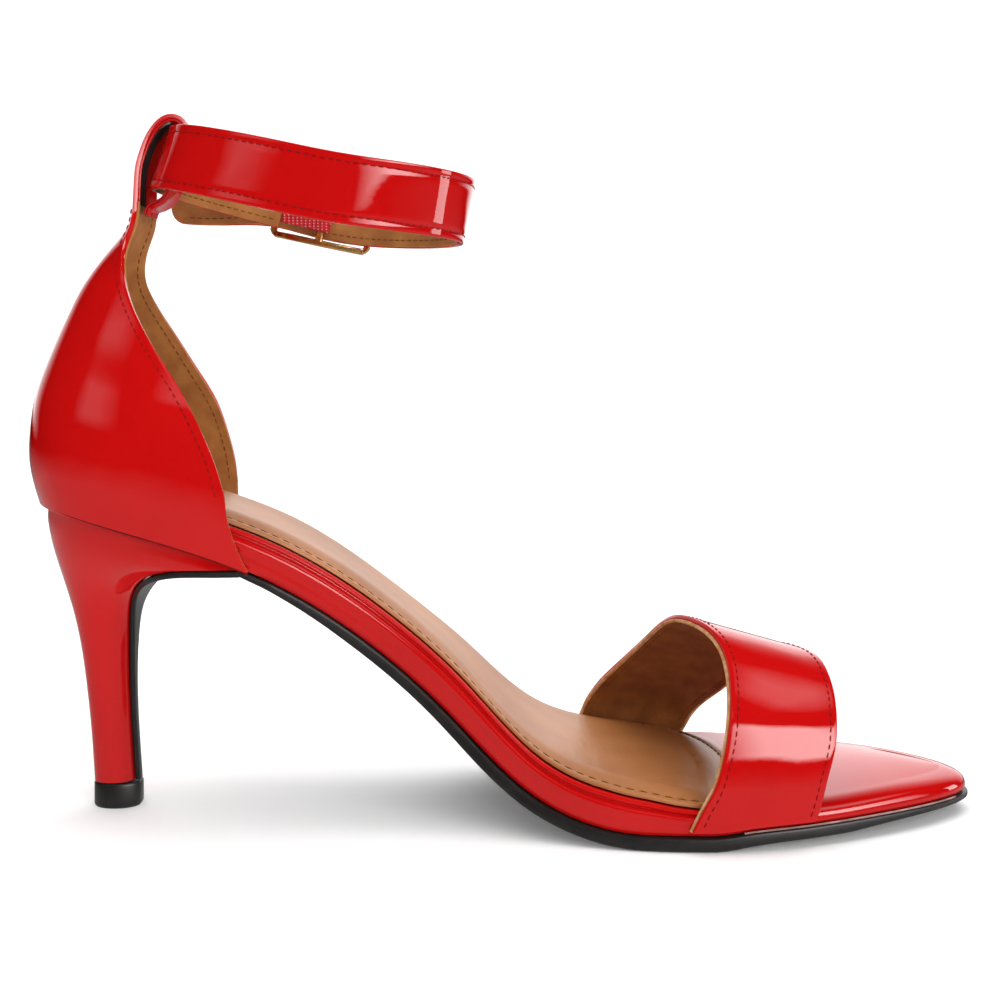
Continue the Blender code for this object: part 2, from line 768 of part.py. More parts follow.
def ankle_point(forward, across, lift=0.0, droop=0.0):
    x = ANKLE_X + forward * ANKLE_LENGTH
    y = across * ANKLE_WIDTH / 2 + lift
    z = ANKLE_BACK_Z - ANKLE_DROP * (1 - ankle_height(forward)) - droop * STRAP_WIDTH
    return x, y, z


def strap_route():
    """The middle line of the ankle strap, from its buckle end round to its free end."""
    rows = [ankle_point(forward, across) for forward, across in ANKLE_PLAN]
    for (forward, across), lift in zip(BUCKLED_SIDE[::-1], (STRAP_LAYER, CENTRE_LIFT, STRAP_LAYER)):
        rows.append(ankle_point(forward, across, lift))
    for forward, across, droop in STRAP_TAIL:
        rows.append(ankle_point(forward, across, droop=droop))
    return route(rows)


def strap_frame(line, at):
    """Where the strap is, and its up and outward directions."""
    reach = 0.002
    run = line(min(at + reach, 1)) - line(max(at - reach, 0))
    lean = math.radians(ankle_lean((line(at)[0] - ANKLE_X) / ANKLE_LENGTH))
    up = np.array([math.sin(lean), 0, math.cos(lean)])
    out = np.cross(run, up)
    return line(at), up, out / np.linalg.norm(out)


def make_ankle_strap():
    line = strap_route()
    half, thick = STRAP_WIDTH / 2, STRAP_THICK / 2
    edge = STRAP_THICK / 4
    section = [(-half, -edge), (edge - half, -thick), (half - edge, -thick), (half, -edge)]
    section += [(-a, -b) for a, b in section]
    rings = []
    for k in range(STRAP_STATIONS + 1):
        at = 1 - (1 - k / STRAP_STATIONS) ** 1.02
        place, up, out = strap_frame(line, at)
        left = np.linalg.norm(line(1) - place) / STRAP_END_ROUND
        narrow = math.sqrt(max(1 - (1 - min(left, 1)) ** 2, 0.12))
        rings.append([place + up * a * narrow + out * b for a, b in section])
    strap = loft("ankle_strap", rings, "patent_red", pointed=False)
    cut = strap.modifiers.new("holes", "BOOLEAN")
    cut.object = make_hole_cutters(line)
    return strap


def where_at(line, x):
    """The share of the strap's route, on its outer layer, that lies at x."""
    low, high = 0.7, 1.0
    for _ in range(40):
        middle = (low + high) / 2
        low, high = (middle, high) if line(middle)[0] > x else (low, middle)
    return low


def prong_crossing(line):
    """The share of the strap's route where the prong comes through it."""
    prong = route(prong_points())
    low, high = 0.0, 1.0
    for _ in range(40):
        middle = (low + high) / 2
        u, level = prong(middle)
        x, y, z = buckle_place(u, 0.0, level)
        inside = y < line(where_at(line, x))[1] and u < BUCKLE_LENGTH / 4
        low, high = (middle, high) if inside else (low, middle)
    return where_at(line, BUCKLE_X + prong(low)[0])


def make_hole_cutters(line):
    """Round cutters for the hole that the prong is in and the spare ones beside it."""
    prong_x = line(prong_crossing(line))[0]
    points, faces = [], []
    sides = 12
    for hole in range(-2, 4):
        wide = SPARE_HOLE if hole else PRONG_HOLE
        place, up, out = strap_frame(line, where_at(line, prong_x - hole * SPARE_HOLE_SPACING))
        run = np.cross(up, out)
        first = len(points)
        for level in (-STRAP_THICK, STRAP_THICK):
            for k in range(sides):
                angle = 2 * math.pi * k / sides
                ray = up * math.cos(angle) + run * math.sin(angle)
                points.append(place + out * level + ray * wide / 2)
        for k in range(sides):
            after = (k + 1) % sides
            faces.append([first + k, first + after, first + sides + after, first + sides + k])
        faces.append([first + k for k in range(sides)][::-1])
        faces.append([first + sides + k for k in range(sides)])
    cutter = add_object("strap_hole_cutters", points, faces)
    cutter.hide_render = True
    cutter.display_type = "WIRE"
    return cutter


def buckle_place(u, v, level):
    """A point by its distance along, its height up and its level out from the strap's end."""
    forward = BUCKLE_FORWARD + u / ANKLE_LENGTH
    lean = math.radians(ankle_lean(forward))
    x, y, z = ankle_point(forward, buckled_side(forward), level)
    return x + v * math.sin(lean), y, z + v * math.cos(lean)


def plate(name, us, vs, windows, place, thick, finish):
    """A bent plate: every cell of a grid but its windows, with a thickness."""

    def solid(i, j):
        if not (0 <= i < len(us) - 1 and 0 <= j < len(vs) - 1):
            return False
        u, v = (us[i] + us[i + 1]) / 2, (vs[j] + vs[j + 1]) / 2
        return not any(a < u < b and c < v < d for a, b, c, d in windows)

    index, points, faces = {}, [], []

    def corner(i, j, side):
        if (i, j, side) not in index:
            index[i, j, side] = len(points)
            points.append(place(us[i], vs[j], side * thick / 2))
        return index[i, j, side]

    for i in range(len(us) - 1):
        for j in range(len(vs) - 1):
            if not solid(i, j):
                continue
            ring = [(i, j), (i + 1, j), (i + 1, j + 1), (i, j + 1)]
            faces.append([corner(*c, 1) for c in ring])
            faces.append([corner(*c, -1) for c in ring[::-1]])
            for k, (di, dj) in enumerate(((0, -1), (1, 0), (0, 1), (-1, 0))):
                if not solid(i + di, j + dj):
                    a, b = ring[k], ring[(k + 1) % 4]
                    faces.append([corner(*a, -1), corner(*b, -1), corner(*b, 1), corner(*a, 1)])
    return add_object(name, points, faces, finish)


def make_buckle_frame():
    """Two end bars, two rails that dip to the middle, and the centre bar across them."""
    end, bar = BUCKLE_LENGTH / 2, BUCKLE_BAR
    window = STRAP_WIDTH / 2 + BUCKLE_SIDE_ROOM
    rail = window + bar
    near = [bar / 2 + (end - 1.5 * bar) * k / 4 for k in range(5)]
    us = [-end] + [-u for u in near[::-1]] + near + [end]
    vs = [-rail, -window, -window / 2, window / 2, window, rail]
    windows = [(-near[-1], -near[0], -window, window), (near[0], near[-1], -window, window)]

    def place(u, v, level):
        pull = 0.4 * bar if abs(u) == end and abs(v) == rail else 0.0
        level += END_BAR_LEVEL * min(abs(u) / (end - bar), 1.0) ** 2
        return buckle_place(math.copysign(abs(u) - pull, u), math.copysign(abs(v) - pull, v), level)

    return plate("buckle_frame", us, vs, windows, place, bar, "gold_metal")


def make_elastic():
    """The gusset sewn to the strap's end, folded round the buckle's centre bar."""
    turn = BAR_CORNER + CLEARANCE + ELASTIC_THICK / 2
    strap_end = (ANKLE_PLAN[0][0] - BUCKLE_FORWARD) * ANKLE_LENGTH + CLEARANCE * 1.5
    leg = [(strap_end, 0.37), (0.7 * strap_end, 0.5), (0.42 * strap_end, 0.8), (0.2 * strap_end, 1.0)]
    path = [(u, share * turn) for u, share in leg]
    for k in range(9):
        angle = math.pi / 2 - math.pi * k / 8
        path.append((turn * math.cos(angle), turn * math.sin(angle)))
    path += [(u, -level) for u, level in path[len(leg) - 1 :: -1]]
    line = np.array(path)
    runs = np.gradient(line, axis=0)
    away = np.stack([-runs[:, 1], runs[:, 0]], axis=1)
    away /= np.linalg.norm(runs, axis=1)[:, None]

    def place(step, v, level):
        u, out = line[int(step)] + away[int(step)] * level
        return buckle_place(u, v, out)

    half, slot = ELASTIC_WIDTH / 2, ELASTIC_SLOT / 2
    vs = [-half, -slot, slot, half]
    slots = [(2, len(line) - 3, -slot, slot)]
    return plate("elastic", list(range(len(line))), vs, slots, place, ELASTIC_THICK, "elastic_red")


def prong_points():
    """The prong in the buckle's own plane: hooked round the bar, up through the strap, along."""
    hook = BAR_CORNER + CLEARANCE + PRONG_THICK / 2
    over = CENTRE_LIFT + STRAP_THICK / 2 + CLEARANCE + PRONG_THICK
    end_u = BUCKLE_LENGTH / 2 - BUCKLE_BAR / 2
    end_level = END_BAR_LEVEL + BUCKLE_BAR / 2 + CLEARANCE + PRONG_THICK / 2
    points = []
    for degrees in (195, 225, 255, 285, 315, 345):
        angle = math.radians(degrees)
        points.append((hook * math.cos(angle), hook * math.sin(angle)))
    points += [(1.6 * hook, 0.5 * over), (2.35 * hook, 0.9 * over), (3.4 * hook, 1.06 * over)]
    points += [(end_u - BUCKLE_BAR, end_level), (end_u + BUCKLE_BAR, end_level)]
    return points


def make_prong():
    prong = route(prong_points())
    line = np.array([prong(k / PRONG_STATIONS) for k in range(PRONG_STATIONS + 1)])
    runs = np.gradient(line, axis=0)
    away = np.stack([-runs[:, 1], runs[:, 0]], axis=1)
    away /= np.linalg.norm(runs, axis=1)[:, None]
    sides = 8
    rings = []
    for k, (u, level) in enumerate(line):
        round_end = 0.6 if k in (0, len(line) - 1) else 1.0
        ring = []
        for side in range(sides):
            angle = 2 * math.pi * side / sides
            reach = PRONG_THICK / 2 * round_end
            step = away[k] * reach * math.cos(angle)
            ring.append(buckle_place(u + step[0], reach * math.sin(angle), level + step[1]))
        rings.append(ring)
    return loft("buckle_prong", rings, "gold_metal")


def main():
    for made in list(bpy.data.objects):
        bpy.data.objects.remove(made, do_unlink=True)
    make_outsole()
    make_board()
    make_sock()
    make_heel()
    make_top_piece()
    make_counter()
    make_vamp_strap()
    make_ankle_strap()
    make_elastic()
    make_buckle_frame()
    make_prong()


main()
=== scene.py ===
"""The looks of a left strappy heeled sandal: patent leather, linings, stitches, sole and buckle.

The toe points along +X, the outer side of the foot is +Y and the floor is z = 0.
Lengths are in metres. The sizes and tables are those of the part that the frame holds.
"""

import math

import bmesh
import bpy
import numpy as np
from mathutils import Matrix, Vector


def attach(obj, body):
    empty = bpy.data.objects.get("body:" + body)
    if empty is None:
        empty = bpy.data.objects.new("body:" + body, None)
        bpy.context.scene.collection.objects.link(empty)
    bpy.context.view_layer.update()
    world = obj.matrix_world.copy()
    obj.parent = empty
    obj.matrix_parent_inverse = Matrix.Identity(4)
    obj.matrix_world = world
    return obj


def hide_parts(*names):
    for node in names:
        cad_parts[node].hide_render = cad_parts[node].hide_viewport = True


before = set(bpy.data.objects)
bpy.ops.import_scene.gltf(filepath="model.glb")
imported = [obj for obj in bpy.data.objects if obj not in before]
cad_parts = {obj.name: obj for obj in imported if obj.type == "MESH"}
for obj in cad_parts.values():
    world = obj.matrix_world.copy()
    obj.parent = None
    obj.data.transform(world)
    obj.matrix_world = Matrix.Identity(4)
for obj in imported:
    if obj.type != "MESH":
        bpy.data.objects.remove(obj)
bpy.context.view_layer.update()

# Sole and heel
SOLE_LENGTH = 0.2245
BALL_WIDTH = 0.0760
HEEL_RISE = 0.0757
TOE_SPRING = 0.0017
BOARD_THICK = 0.0095
OUTSOLE_THICK = 0.0032
OUTSOLE_LIP = 0.0006
FLAP_THICK = 0.0012
HEEL_SEAT_LENGTH = 0.0502
HEEL_SEAT_WIDTH = 0.0470
HEEL_SEAT_INSET = 0.0010
TOP_PIECE_HEIGHT = 0.0059
TOP_PIECE_LIP = 0.0001
TOP_PIECE_ROUND = 0.0004
SOCK_THICK = 0.0022
SOCK_INSET = 0.0022
SOCK_REACH = 0.0165
SOCK_ROUND = 0.0140

# Counter, its loop and the vamp strap
COUNTER_LENGTH = 0.0520
COUNTER_LEAN = 0.0225
COUNTER_WALL = 0.0017
TAB_WIDTH = 0.0180
LOOP_DEPTH = 0.0105
LOOP_NARROW = 0.45
LOOP_SLACK_BELOW = 0.0037
LOOP_SLACK_ABOVE = 0.0007
STRAP_IN_LOOP = 0.505
VAMP_WALL = 0.0018
VAMP_CROWN_BACK = 0.0452
VAMP_CROWN_FRONT = 0.0377
VAMP_LIFT = 0.0013

# Ankle strap and buckle
ANKLE_RISE = 0.0829
ANKLE_DROP = 0.0128
ANKLE_LENGTH = 0.0750
ANKLE_WIDTH = 0.0570
STRAP_WIDTH = 0.0160
STRAP_THICK = 0.0020
STRAP_END_ROUND = 0.0058
BUCKLE_LENGTH = 0.0260
BUCKLE_BAR = 0.0017
BUCKLE_SIDE_ROOM = 0.0006
ELASTIC_WIDTH = 0.0125
ELASTIC_THICK = 0.0007
ELASTIC_SLOT = 0.0026
PRONG_THICK = 0.0012
PRONG_HOLE = 0.0034
SPARE_HOLE = 0.0020
SPARE_HOLE_SPACING = 0.0075

CLEARANCE = 0.0003

# Leather layers: how far the lining and the patent reach out from the inner face of a wall
LINING_REACH = 0.00055
PATENT_FROM = 0.00062
LINING_RIM = 0.00048
SEAM_SHADOW = 0.00020
EDGE_ROUND = 0.00032
STITCH_INSET = 0.0019
STITCH_PITCH = 0.0019
STITCH_LENGTH = 0.0012
THREAD_THICK = 0.00033
SOCK_STITCH_INSET = 0.0021
# LOOP_TURNED: the share of the loop's width on each edge that stays red patent inside; the near-black
# middle is painted shade
LOOP_TURNED = 0.34

# Fineness of the surfaces
OUTLINE_STEPS = 150
HEEL_RINGS = 90
HEEL_STEPS = 36
COUNTER_COLUMNS = 70
TAB_SHARE = 0.2
COUNTER_ROWS = 56
LOOP_ROWS = 70
VAMP_ROWS = 150
VAMP_COLUMNS = 26
STRAP_STATIONS = 420
SOCK_END_STEPS = 28
PRONG_STATIONS = 60
EDGE_RINGS = 38

# The ball of the foot, where x = 0, as a share of the sole's length from the back of the heel
BALL_ALONG = 0.6757

# along: share of SOLE_LENGTH; inner and outer half-widths: shares of BALL_WIDTH
OUTLINE = (
    (0.000, 0.000, 0.000),
    (0.040, 0.232, 0.232),
    (0.120, 0.303, 0.308),
    (0.200, 0.305, 0.313),
    (0.280, 0.271, 0.318),
    (0.360, 0.240, 0.297),
    (0.440, 0.271, 0.325),
    (0.520, 0.366, 0.415),
    (0.600, 0.447, 0.475),
    (0.680, 0.479, 0.500),
    (0.760, 0.459, 0.453),
    (0.840, 0.382, 0.384),
    (0.920, 0.266, 0.276),
    (0.975, 0.150, 0.145),
    (1.000, 0.020, -0.020),
)
# along: share of SOLE_LENGTH; rise: share of the height from the ball up to the heel seat
ARCH = (
    (0.000, 1.000),
    (0.120, 0.903),
    (0.240, 0.772),
    (0.360, 0.532),
    (0.440, 0.318),
    (0.480, 0.198),
    (0.520, 0.100),
    (0.560, 0.040),
    (0.636, 0.000),
)
# along: share of SOLE_LENGTH; curl: share of TOE_SPRING
TOE_CURL = ((0.700, 0.0), (0.735, 0.45), (0.780, 0.75), (0.840, 0.88), (0.900, 0.95), (1.0, 0.80))
# along: share of SOLE_LENGTH; depth: share of BOARD_THICK, square to the board
BOARD_DEPTH = (
    (0.00, 0.85),
    (0.26, 0.84),
    (0.43, 0.82),
    (0.59, 0.83),
    (0.63, 0.76),
    (0.67, 0.60),
    (0.73, 0.47),
    (0.83, 0.42),
    (0.90, 0.44),
    (1.00, 0.42),
)
# inset and level of each line round the board's covered side, as shares of BOARD_THICK
BOARD_EDGE = (
    (0.060, 0.00),
    (0.015, 0.15),
    (0.000, 0.45),
    (0.037, 0.78),
    (0.095, 0.84),
    (0.021, 0.92),
    (0.126, 1.00),
    (0.253, 1.00),
)
# along: share of SOLE_LENGTH; depth: share of OUTSOLE_THICK, square to the sole
OUTSOLE_DEPTH = (
    (0.24, 0.50),
    (0.31, 0.72),
    (0.35, 0.83),
    (0.44, 0.88),
    (0.60, 0.98),
    (0.63, 1.00),
    (0.71, 1.00),
    (0.74, 0.95),
    (0.78, 0.88),
    (0.84, 0.86),
    (0.88, 0.68),
    (0.92, 0.55),
    (1.00, 0.38),
)


# Heel levels from its foot to its seat. back_x and front_x: shares of HEEL_SEAT_LENGTH;
# back_z and front_z: shares of HEEL_RISE; half: share of half HEEL_SEAT_WIDTH;
# seat: how far the section has become the sole's outline; sweep: degrees from the back to
# the edge of the flat breast
HEEL_LEVELS = (
    (0.215, 0.0823, 0.412, 0.0823, 0.213, 0.0, 164),
    (0.199, 0.2390, 0.397, 0.2324, 0.217, 0.0, 164),
    (0.179, 0.3718, 0.388, 0.3586, 0.230, 0.0, 164),
    (0.153, 0.5046, 0.386, 0.4781, 0.264, 0.0, 162),
    (0.112, 0.6375, 0.394, 0.6050, 0.340, 0.0, 156),
    (0.062, 0.7570, 0.424, 0.6880, 0.489, 0.0, 142),
    (0.026, 0.8499, 0.508, 0.7530, 0.681, 0.1, 122),
    (0.002, 0.9230, 0.666, 0.7920, 0.872, 0.4, 104),
    (-0.010, 0.9650, 0.850, 0.7985, 0.980, 0.8, 92),
    (0.020, 0.9960, 1.000, 0.7990, 1.000, 1.0, 90),
)
# height: share of the counter's height; lean: share of COUNTER_LEAN; girth: share of the
# sole's half-width that the counter keeps
COUNTER_SHAPE = (
    (0.000, 0.000, 1.000),
    (0.056, -0.053, 1.018),
    (0.139, -0.102, 1.040),
    (0.237, -0.093, 1.045),
    (0.335, -0.053, 1.016),
    (0.432, 0.040, 0.948),
    (0.530, 0.160, 0.815),
    (0.628, 0.298, 0.712),
    (0.725, 0.458, 0.610),
    (0.787, 0.600, 0.581),
    (0.819, 0.684, 0.639),
    (0.853, 0.779, 0.729),
    (0.886, 0.873, 0.833),
    (0.924, 0.945, 0.938),
    (0.964, 0.983, 1.005),
    (1.000, 1.000, 1.050),
)
# The topline below the tab's corner. height: share of the counter's height; inner and outer:
# how far forward it is on each side of the foot, as shares of COUNTER_LENGTH
TOPLINE = (
    (0.960, 0.456, 0.456),
    (0.920, 0.446, 0.446),
    (0.880, 0.427, 0.427),
    (0.840, 0.408, 0.408),
    (0.800, 0.398, 0.398),
    (0.760, 0.398, 0.398),
    (0.657, 0.440, 0.440),
    (0.545, 0.523, 0.523),
    (0.414, 0.642, 0.620),
    (0.317, 0.729, 0.690),
    (0.209, 0.810, 0.742),
    (0.121, 0.860, 0.772),
    (0.024, 0.898, 0.790),
)
COUNTER_FRONT = (1.000, 0.853)
# forward: share of LOOP_DEPTH; up: share of the loop's height. The loop narrows evenly to
# LOOP_NARROW of the tab's width
LOOP = (
    (0.000, 0.000),
    (0.020, 0.250),
    (0.055, 0.450),
    (0.125, 0.590),
    (0.255, 0.775),
    (0.405, 0.907),
    (0.590, 1.000),
    (0.720, 1.020),
    (0.880, 0.990),
    (0.960, 0.930),
    (0.920, 0.770),
    (0.835, 0.570),
    (0.690, 0.310),
    (0.510, 0.110),
    (0.290, 0.030),
    (0.120, -0.030),
    (0.065, -0.130),
)
# across: share of the sole's half-width, the inner side negative; height: share of the
# strap's crown; back and front edges: shares of SOLE_LENGTH
VAMP_ARCH = (
    (-1.000, 0.000, 0.6788, 0.8027),
    (-1.000, 0.140, 0.6913, 0.8094),
    (-1.000, 0.270, 0.7029, 0.8143),
    (-0.970, 0.460, 0.7127, 0.8236),
    (-0.900, 0.630, 0.7185, 0.8290),
    (-0.750, 0.785, 0.7216, 0.8321),
    (-0.570, 0.907, 0.7189, 0.8316),
    (-0.370, 0.980, 0.7087, 0.8272),
    (-0.140, 1.000, 0.6944, 0.8138),
    (0.110, 0.960, 0.6788, 0.7960),
    (0.400, 0.805, 0.6619, 0.7804),
    (0.610, 0.650, 0.6437, 0.7693),
    (0.780, 0.500, 0.6236, 0.7559),
    (0.915, 0.385, 0.6110, 0.7440),
    (1.000, 0.260, 0.5990, 0.7300),
    (1.000, 0.130, 0.5900, 0.7180),
    (1.000, 0.000, 0.5822, 0.7069),
)
# forward: share of ANKLE_LENGTH; height: share of ANKLE_DROP; lean of the strap, in degrees
ANKLE_SLOPE = (
    (0.00, 1.0000, 20.0),
    (0.39, 0.4530, 15.0),
    (0.59, 0.2030, 13.0),
    (0.79, 0.0625, 12.0),
    (1.00, 0.0000, 11.0),
)
# forward: share of ANKLE_LENGTH; across: share of half ANKLE_WIDTH, the outer side positive
ANKLE_PLAN = (
    (0.36, 0.860),
    (0.22, 0.760),
    (0.10, 0.560),
    (0.03, 0.300),
    (0.00, 0.000),
    (0.03, -0.300),
    (0.10, -0.580),
    (0.22, -0.800),
    (0.40, -0.960),
    (0.60, -1.000),
    (0.78, -0.900),
    (0.92, -0.580),
    (0.99, -0.180),
    (0.98, 0.220),
    (0.88, 0.580),
    (0.76, 0.790),
)
# The buckled side of the ankle, where the strap's layers lie on each other
BUCKLED_SIDE = ((0.33, 0.840), (0.49, 0.900), (0.65, 0.875))
# The strap's free end; droop: share of STRAP_WIDTH
STRAP_TAIL = ((0.163, 0.947, 0.170), (0.060, 0.890, 0.290), (-0.035, 0.825, 0.360))
BUCKLE_FORWARD = 0.500

HEEL_BACK = -BALL_ALONG * SOLE_LENGTH
BALL_HEIGHT = OUTSOLE_THICK + CLEARANCE
TAB_X = HEEL_BACK - CLEARANCE + COUNTER_LEAN
ANKLE_X = TAB_X + STRAP_IN_LOOP * LOOP_DEPTH
ANKLE_BACK_Z = HEEL_RISE + ANKLE_RISE
STRAP_RISE = STRAP_WIDTH / 2 * math.cos(math.radians(ANKLE_SLOPE[0][2]))
TAB_TOP = ANKLE_BACK_Z - STRAP_RISE - LOOP_SLACK_BELOW
LOOP_HEIGHT = 2 * STRAP_RISE + LOOP_SLACK_BELOW + LOOP_SLACK_ABOVE
COUNTER_HEIGHT = TAB_TOP - HEEL_RISE
STRAP_LAYER = STRAP_THICK + 1.2 * CLEARANCE
BAR_CORNER = BUCKLE_BAR / 2 * math.sqrt(2)
CENTRE_LIFT = BAR_CORNER + ELASTIC_THICK + STRAP_THICK / 2 + 2.5 * CLEARANCE
END_BAR_LEVEL = STRAP_LAYER + (BUCKLE_BAR + STRAP_THICK) / 2 + 2 * CLEARANCE
BUCKLE_X = ANKLE_X + BUCKLE_FORWARD * ANKLE_LENGTH


def cubic(knots, values, start=None, end=None):
    """A smooth curve through the values, with no bend at an end that has no slope given."""
    knots, values = np.array(knots, float), np.array(values, float)
    steps = np.diff(knots)
    slopes = np.diff(values) / steps
    count = len(knots)
    matrix = np.eye(count)
    wanted = np.zeros(count)
    for i in range(1, count - 1):
        matrix[i, i - 1 : i + 2] = steps[i - 1], 2 * (steps[i - 1] + steps[i]), steps[i]
        wanted[i] = 6 * (slopes[i] - slopes[i - 1])
    if start is not None:
        matrix[0, :2] = 2 * steps[0], steps[0]
        wanted[0] = 6 * (slopes[0] - start)
    if end is not None:
        matrix[-1, -2:] = steps[-1], 2 * steps[-1]
        wanted[-1] = 6 * (end - slopes[-1])
    bends = np.linalg.solve(matrix, wanted)

    def curve(at):
        i = min(max(int(np.searchsorted(knots, at)) - 1, 0), count - 2)
        right = (at - knots[i]) / steps[i]
        left = 1 - right
        bow = (left**3 - left) * bends[i] + (right**3 - right) * bends[i + 1]
        return left * values[i] + right * values[i + 1] + bow * steps[i] ** 2 / 6

    return curve


def steady(rows):
    """A curve through (at, value) rows that never passes them, level where two are alike."""
    knots, values = np.array(rows, float).T
    steps = np.diff(knots)
    slopes = np.diff(values) / steps
    grades = np.concatenate([slopes[:1], np.zeros(len(knots) - 2), slopes[-1:]])
    for i in range(1, len(knots) - 1):
        if slopes[i - 1] * slopes[i] > 0:
            grades[i] = 2 * slopes[i - 1] * slopes[i] / (slopes[i - 1] + slopes[i])

    def curve(at):
        at = min(max(at, knots[0]), knots[-1])
        i = min(max(int(np.searchsorted(knots, at)) - 1, 0), len(steps) - 1)
        t = (at - knots[i]) / steps[i]
        rise = values[i + 1] - values[i]
        ease = t * t * (3 - 2 * t)
        lead = (t - 2 * t * t + t**3) * grades[i] + (t**3 - t * t) * grades[i + 1]
        return values[i] + rise * ease + lead * steps[i]

    return curve


def by_first(rows, column, **ends):
    """A smooth curve of one of a table's columns by its first one."""
    return cubic([row[0] for row in rows], [row[column] for row in rows], **ends)


def columns(rows, *picked):
    """Smooth curves over a table's rows, one for each picked column, with the rows at 0 to 1."""
    table = np.array(rows, float)
    at = np.linspace(0, 1, len(table))
    return [cubic(at, table[:, column]) for column in picked]


def unit(vectors):
    """Vectors made one long, alone or in rows."""
    vectors = np.array(vectors, float)
    return vectors / np.linalg.norm(vectors, axis=-1, keepdims=True)


def gone_along(points):
    """How far along a line of points each of them is."""
    return np.concatenate([[0], np.cumsum(np.linalg.norm(np.diff(points, axis=0), axis=1))])


def left_of(line):
    """The directions to the left of a flat line's run, at each of its points."""
    runs = unit(np.gradient(line, axis=0))
    return np.stack([-runs[:, 1], runs[:, 0]], axis=1)


def crossing(low, high, before):
    """Where a test that holds at low stops holding on the way to high."""
    for _ in range(40):
        middle = (low + high) / 2
        low, high = (middle, high) if before(middle) else (low, middle)
    return low


def route(points):
    """A smooth curve through points in space, by their distance, from 0 to 1."""
    points = np.array(points, float)
    gone = gone_along(points)
    parts = [cubic(gone / gone[-1], points[:, axis]) for axis in range(points.shape[1])]
    return lambda at: np.array([part(at) for part in parts])


def turn_of(along):
    """How far round the sole's side a share of its length is, from heel 0 to toe 1."""
    return math.acos(min(max(1 - 2 * along, -1), 1)) / math.pi


TURNS = [turn_of(row[0]) for row in OUTLINE]
HALF_WIDTH = {
    -1: cubic(TURNS, [row[1] * BALL_WIDTH for row in OUTLINE]),
    1: cubic(TURNS, [row[2] * BALL_WIDTH for row in OUTLINE]),
}
arch_rise = by_first(ARCH, 1, end=0.0)
toe_curl = by_first(TOE_CURL, 1, start=0.0)
board_depth = steady(BOARD_DEPTH)
outsole_depth = steady(OUTSOLE_DEPTH)
ankle_height = by_first(ANKLE_SLOPE, 1)
ankle_lean = by_first(ANKLE_SLOPE, 2)
buckled_side = by_first(BUCKLED_SIDE, 1)
counter_lean = by_first(COUNTER_SHAPE, 1)
counter_girth = by_first(COUNTER_SHAPE, 2)


def along_of(x):
    return (x - HEEL_BACK) / SOLE_LENGTH


def feather(x):
    """Height of the feather line, where the board's underside meets heel and outsole."""
    along = along_of(x)
    height = BALL_HEIGHT
    if along < ARCH[-1][0]:
        height += arch_rise(along) * (HEEL_RISE - BALL_HEIGHT)
    if along > TOE_CURL[0][0]:
        height += toe_curl(along) * TOE_SPRING
    return height


def steepness(x):
    """How much longer the feather line is than its plan, at x."""
    reach = 0.009 * SOLE_LENGTH
    return math.hypot(1.0, (feather(x + reach) - feather(x - reach)) / (2 * reach))


def board_height(x):
    return BOARD_THICK * board_depth(along_of(x)) * steepness(x)


def side_point(side, turn, inset=0.0):
    """A point of the sole's outline in plan, moved inwards by the inset."""

    def at(share):
        x = HEEL_BACK + SOLE_LENGTH * (1 - math.cos(math.pi * share)) / 2
        return np.array([x, side * HALF_WIDTH[side](share)])

    reach = 0.002
    before, after = at(max(turn - reach, 0)), at(min(turn + reach, 1))
    if turn < reach:
        before = at(reach) * (1, -1)
    if turn > 1 - reach:
        after = np.array([at(1 - reach)[0], 2 * at(1)[1] - at(1 - reach)[1]])
    run = after - before
    inward = side * np.array([run[1], -run[0]]) / np.linalg.norm(run)
    return at(turn) + inset * inward


def half_width_at(side, x):
    return HALF_WIDTH[side](turn_of(along_of(x)))


# Each finish drifts between two colours
REDS = ((0.50, 0.0046, 0.0046), (0.45, 0.0036, 0.0036))
TANS = ((0.42, 0.170, 0.046), (0.32, 0.120, 0.032))
# Painted shade: a darker copy of the lining tans, for the vamp strap's lining in the shadow under the
# strap
SHADED_TANS = ((0.25, 0.085, 0.019), (0.18, 0.056, 0.012))
SOCK_TANS = ((0.39, 0.152, 0.048), (0.31, 0.115, 0.035))
# Painted shade: near-black for the middle of the loop's inside, where its red inner face lies in shadow
LOOP_SHADE_BLACKS = ((0.02, 0.006, 0.005), (0.01, 0.004, 0.004))
RUBBER_BLACKS = ((0.007, 0.006, 0.006), (0.012, 0.010, 0.009))
GOLDS = ((0.80, 0.50, 0.20), (0.70, 0.42, 0.17))
RED_THREADS = ((0.26, 0.003, 0.004), (0.18, 0.002, 0.003))
TAN_THREADS = ((0.22, 0.085, 0.020), (0.13, 0.048, 0.011))
# Painted highlight: pale pinkish greys for a thin cord where the board cover meets the outsole,
# standing in for light caught on that edge
EDGE_HIGHLIGHT_PINKS = ((0.40, 0.22, 0.20), (0.22, 0.11, 0.10))
# Painted shadow: dark reds for a cord along the counter's foot, standing in for the shadow in the gap
# above the heel
SEAM_SHADOW_REDS = ((0.16, 0.002, 0.002), (0.10, 0.001, 0.001))
ELASTIC_REDS = ((0.50, 0.010, 0.018), (0.42, 0.006, 0.012))
PALE_TAN = (0.62, 0.36, 0.19)
PALE_THREAD = (0.85, 0.25, 0.25)


def set_inputs(tree, made, inputs):
    """Sets a node's inputs to values, or links them to other nodes' outputs."""
    for name, value in inputs.items():
        if isinstance(value, bpy.types.NodeSocket):
            tree.links.new(value, made.inputs[name])
        else:
            made.inputs[name].default_value = value


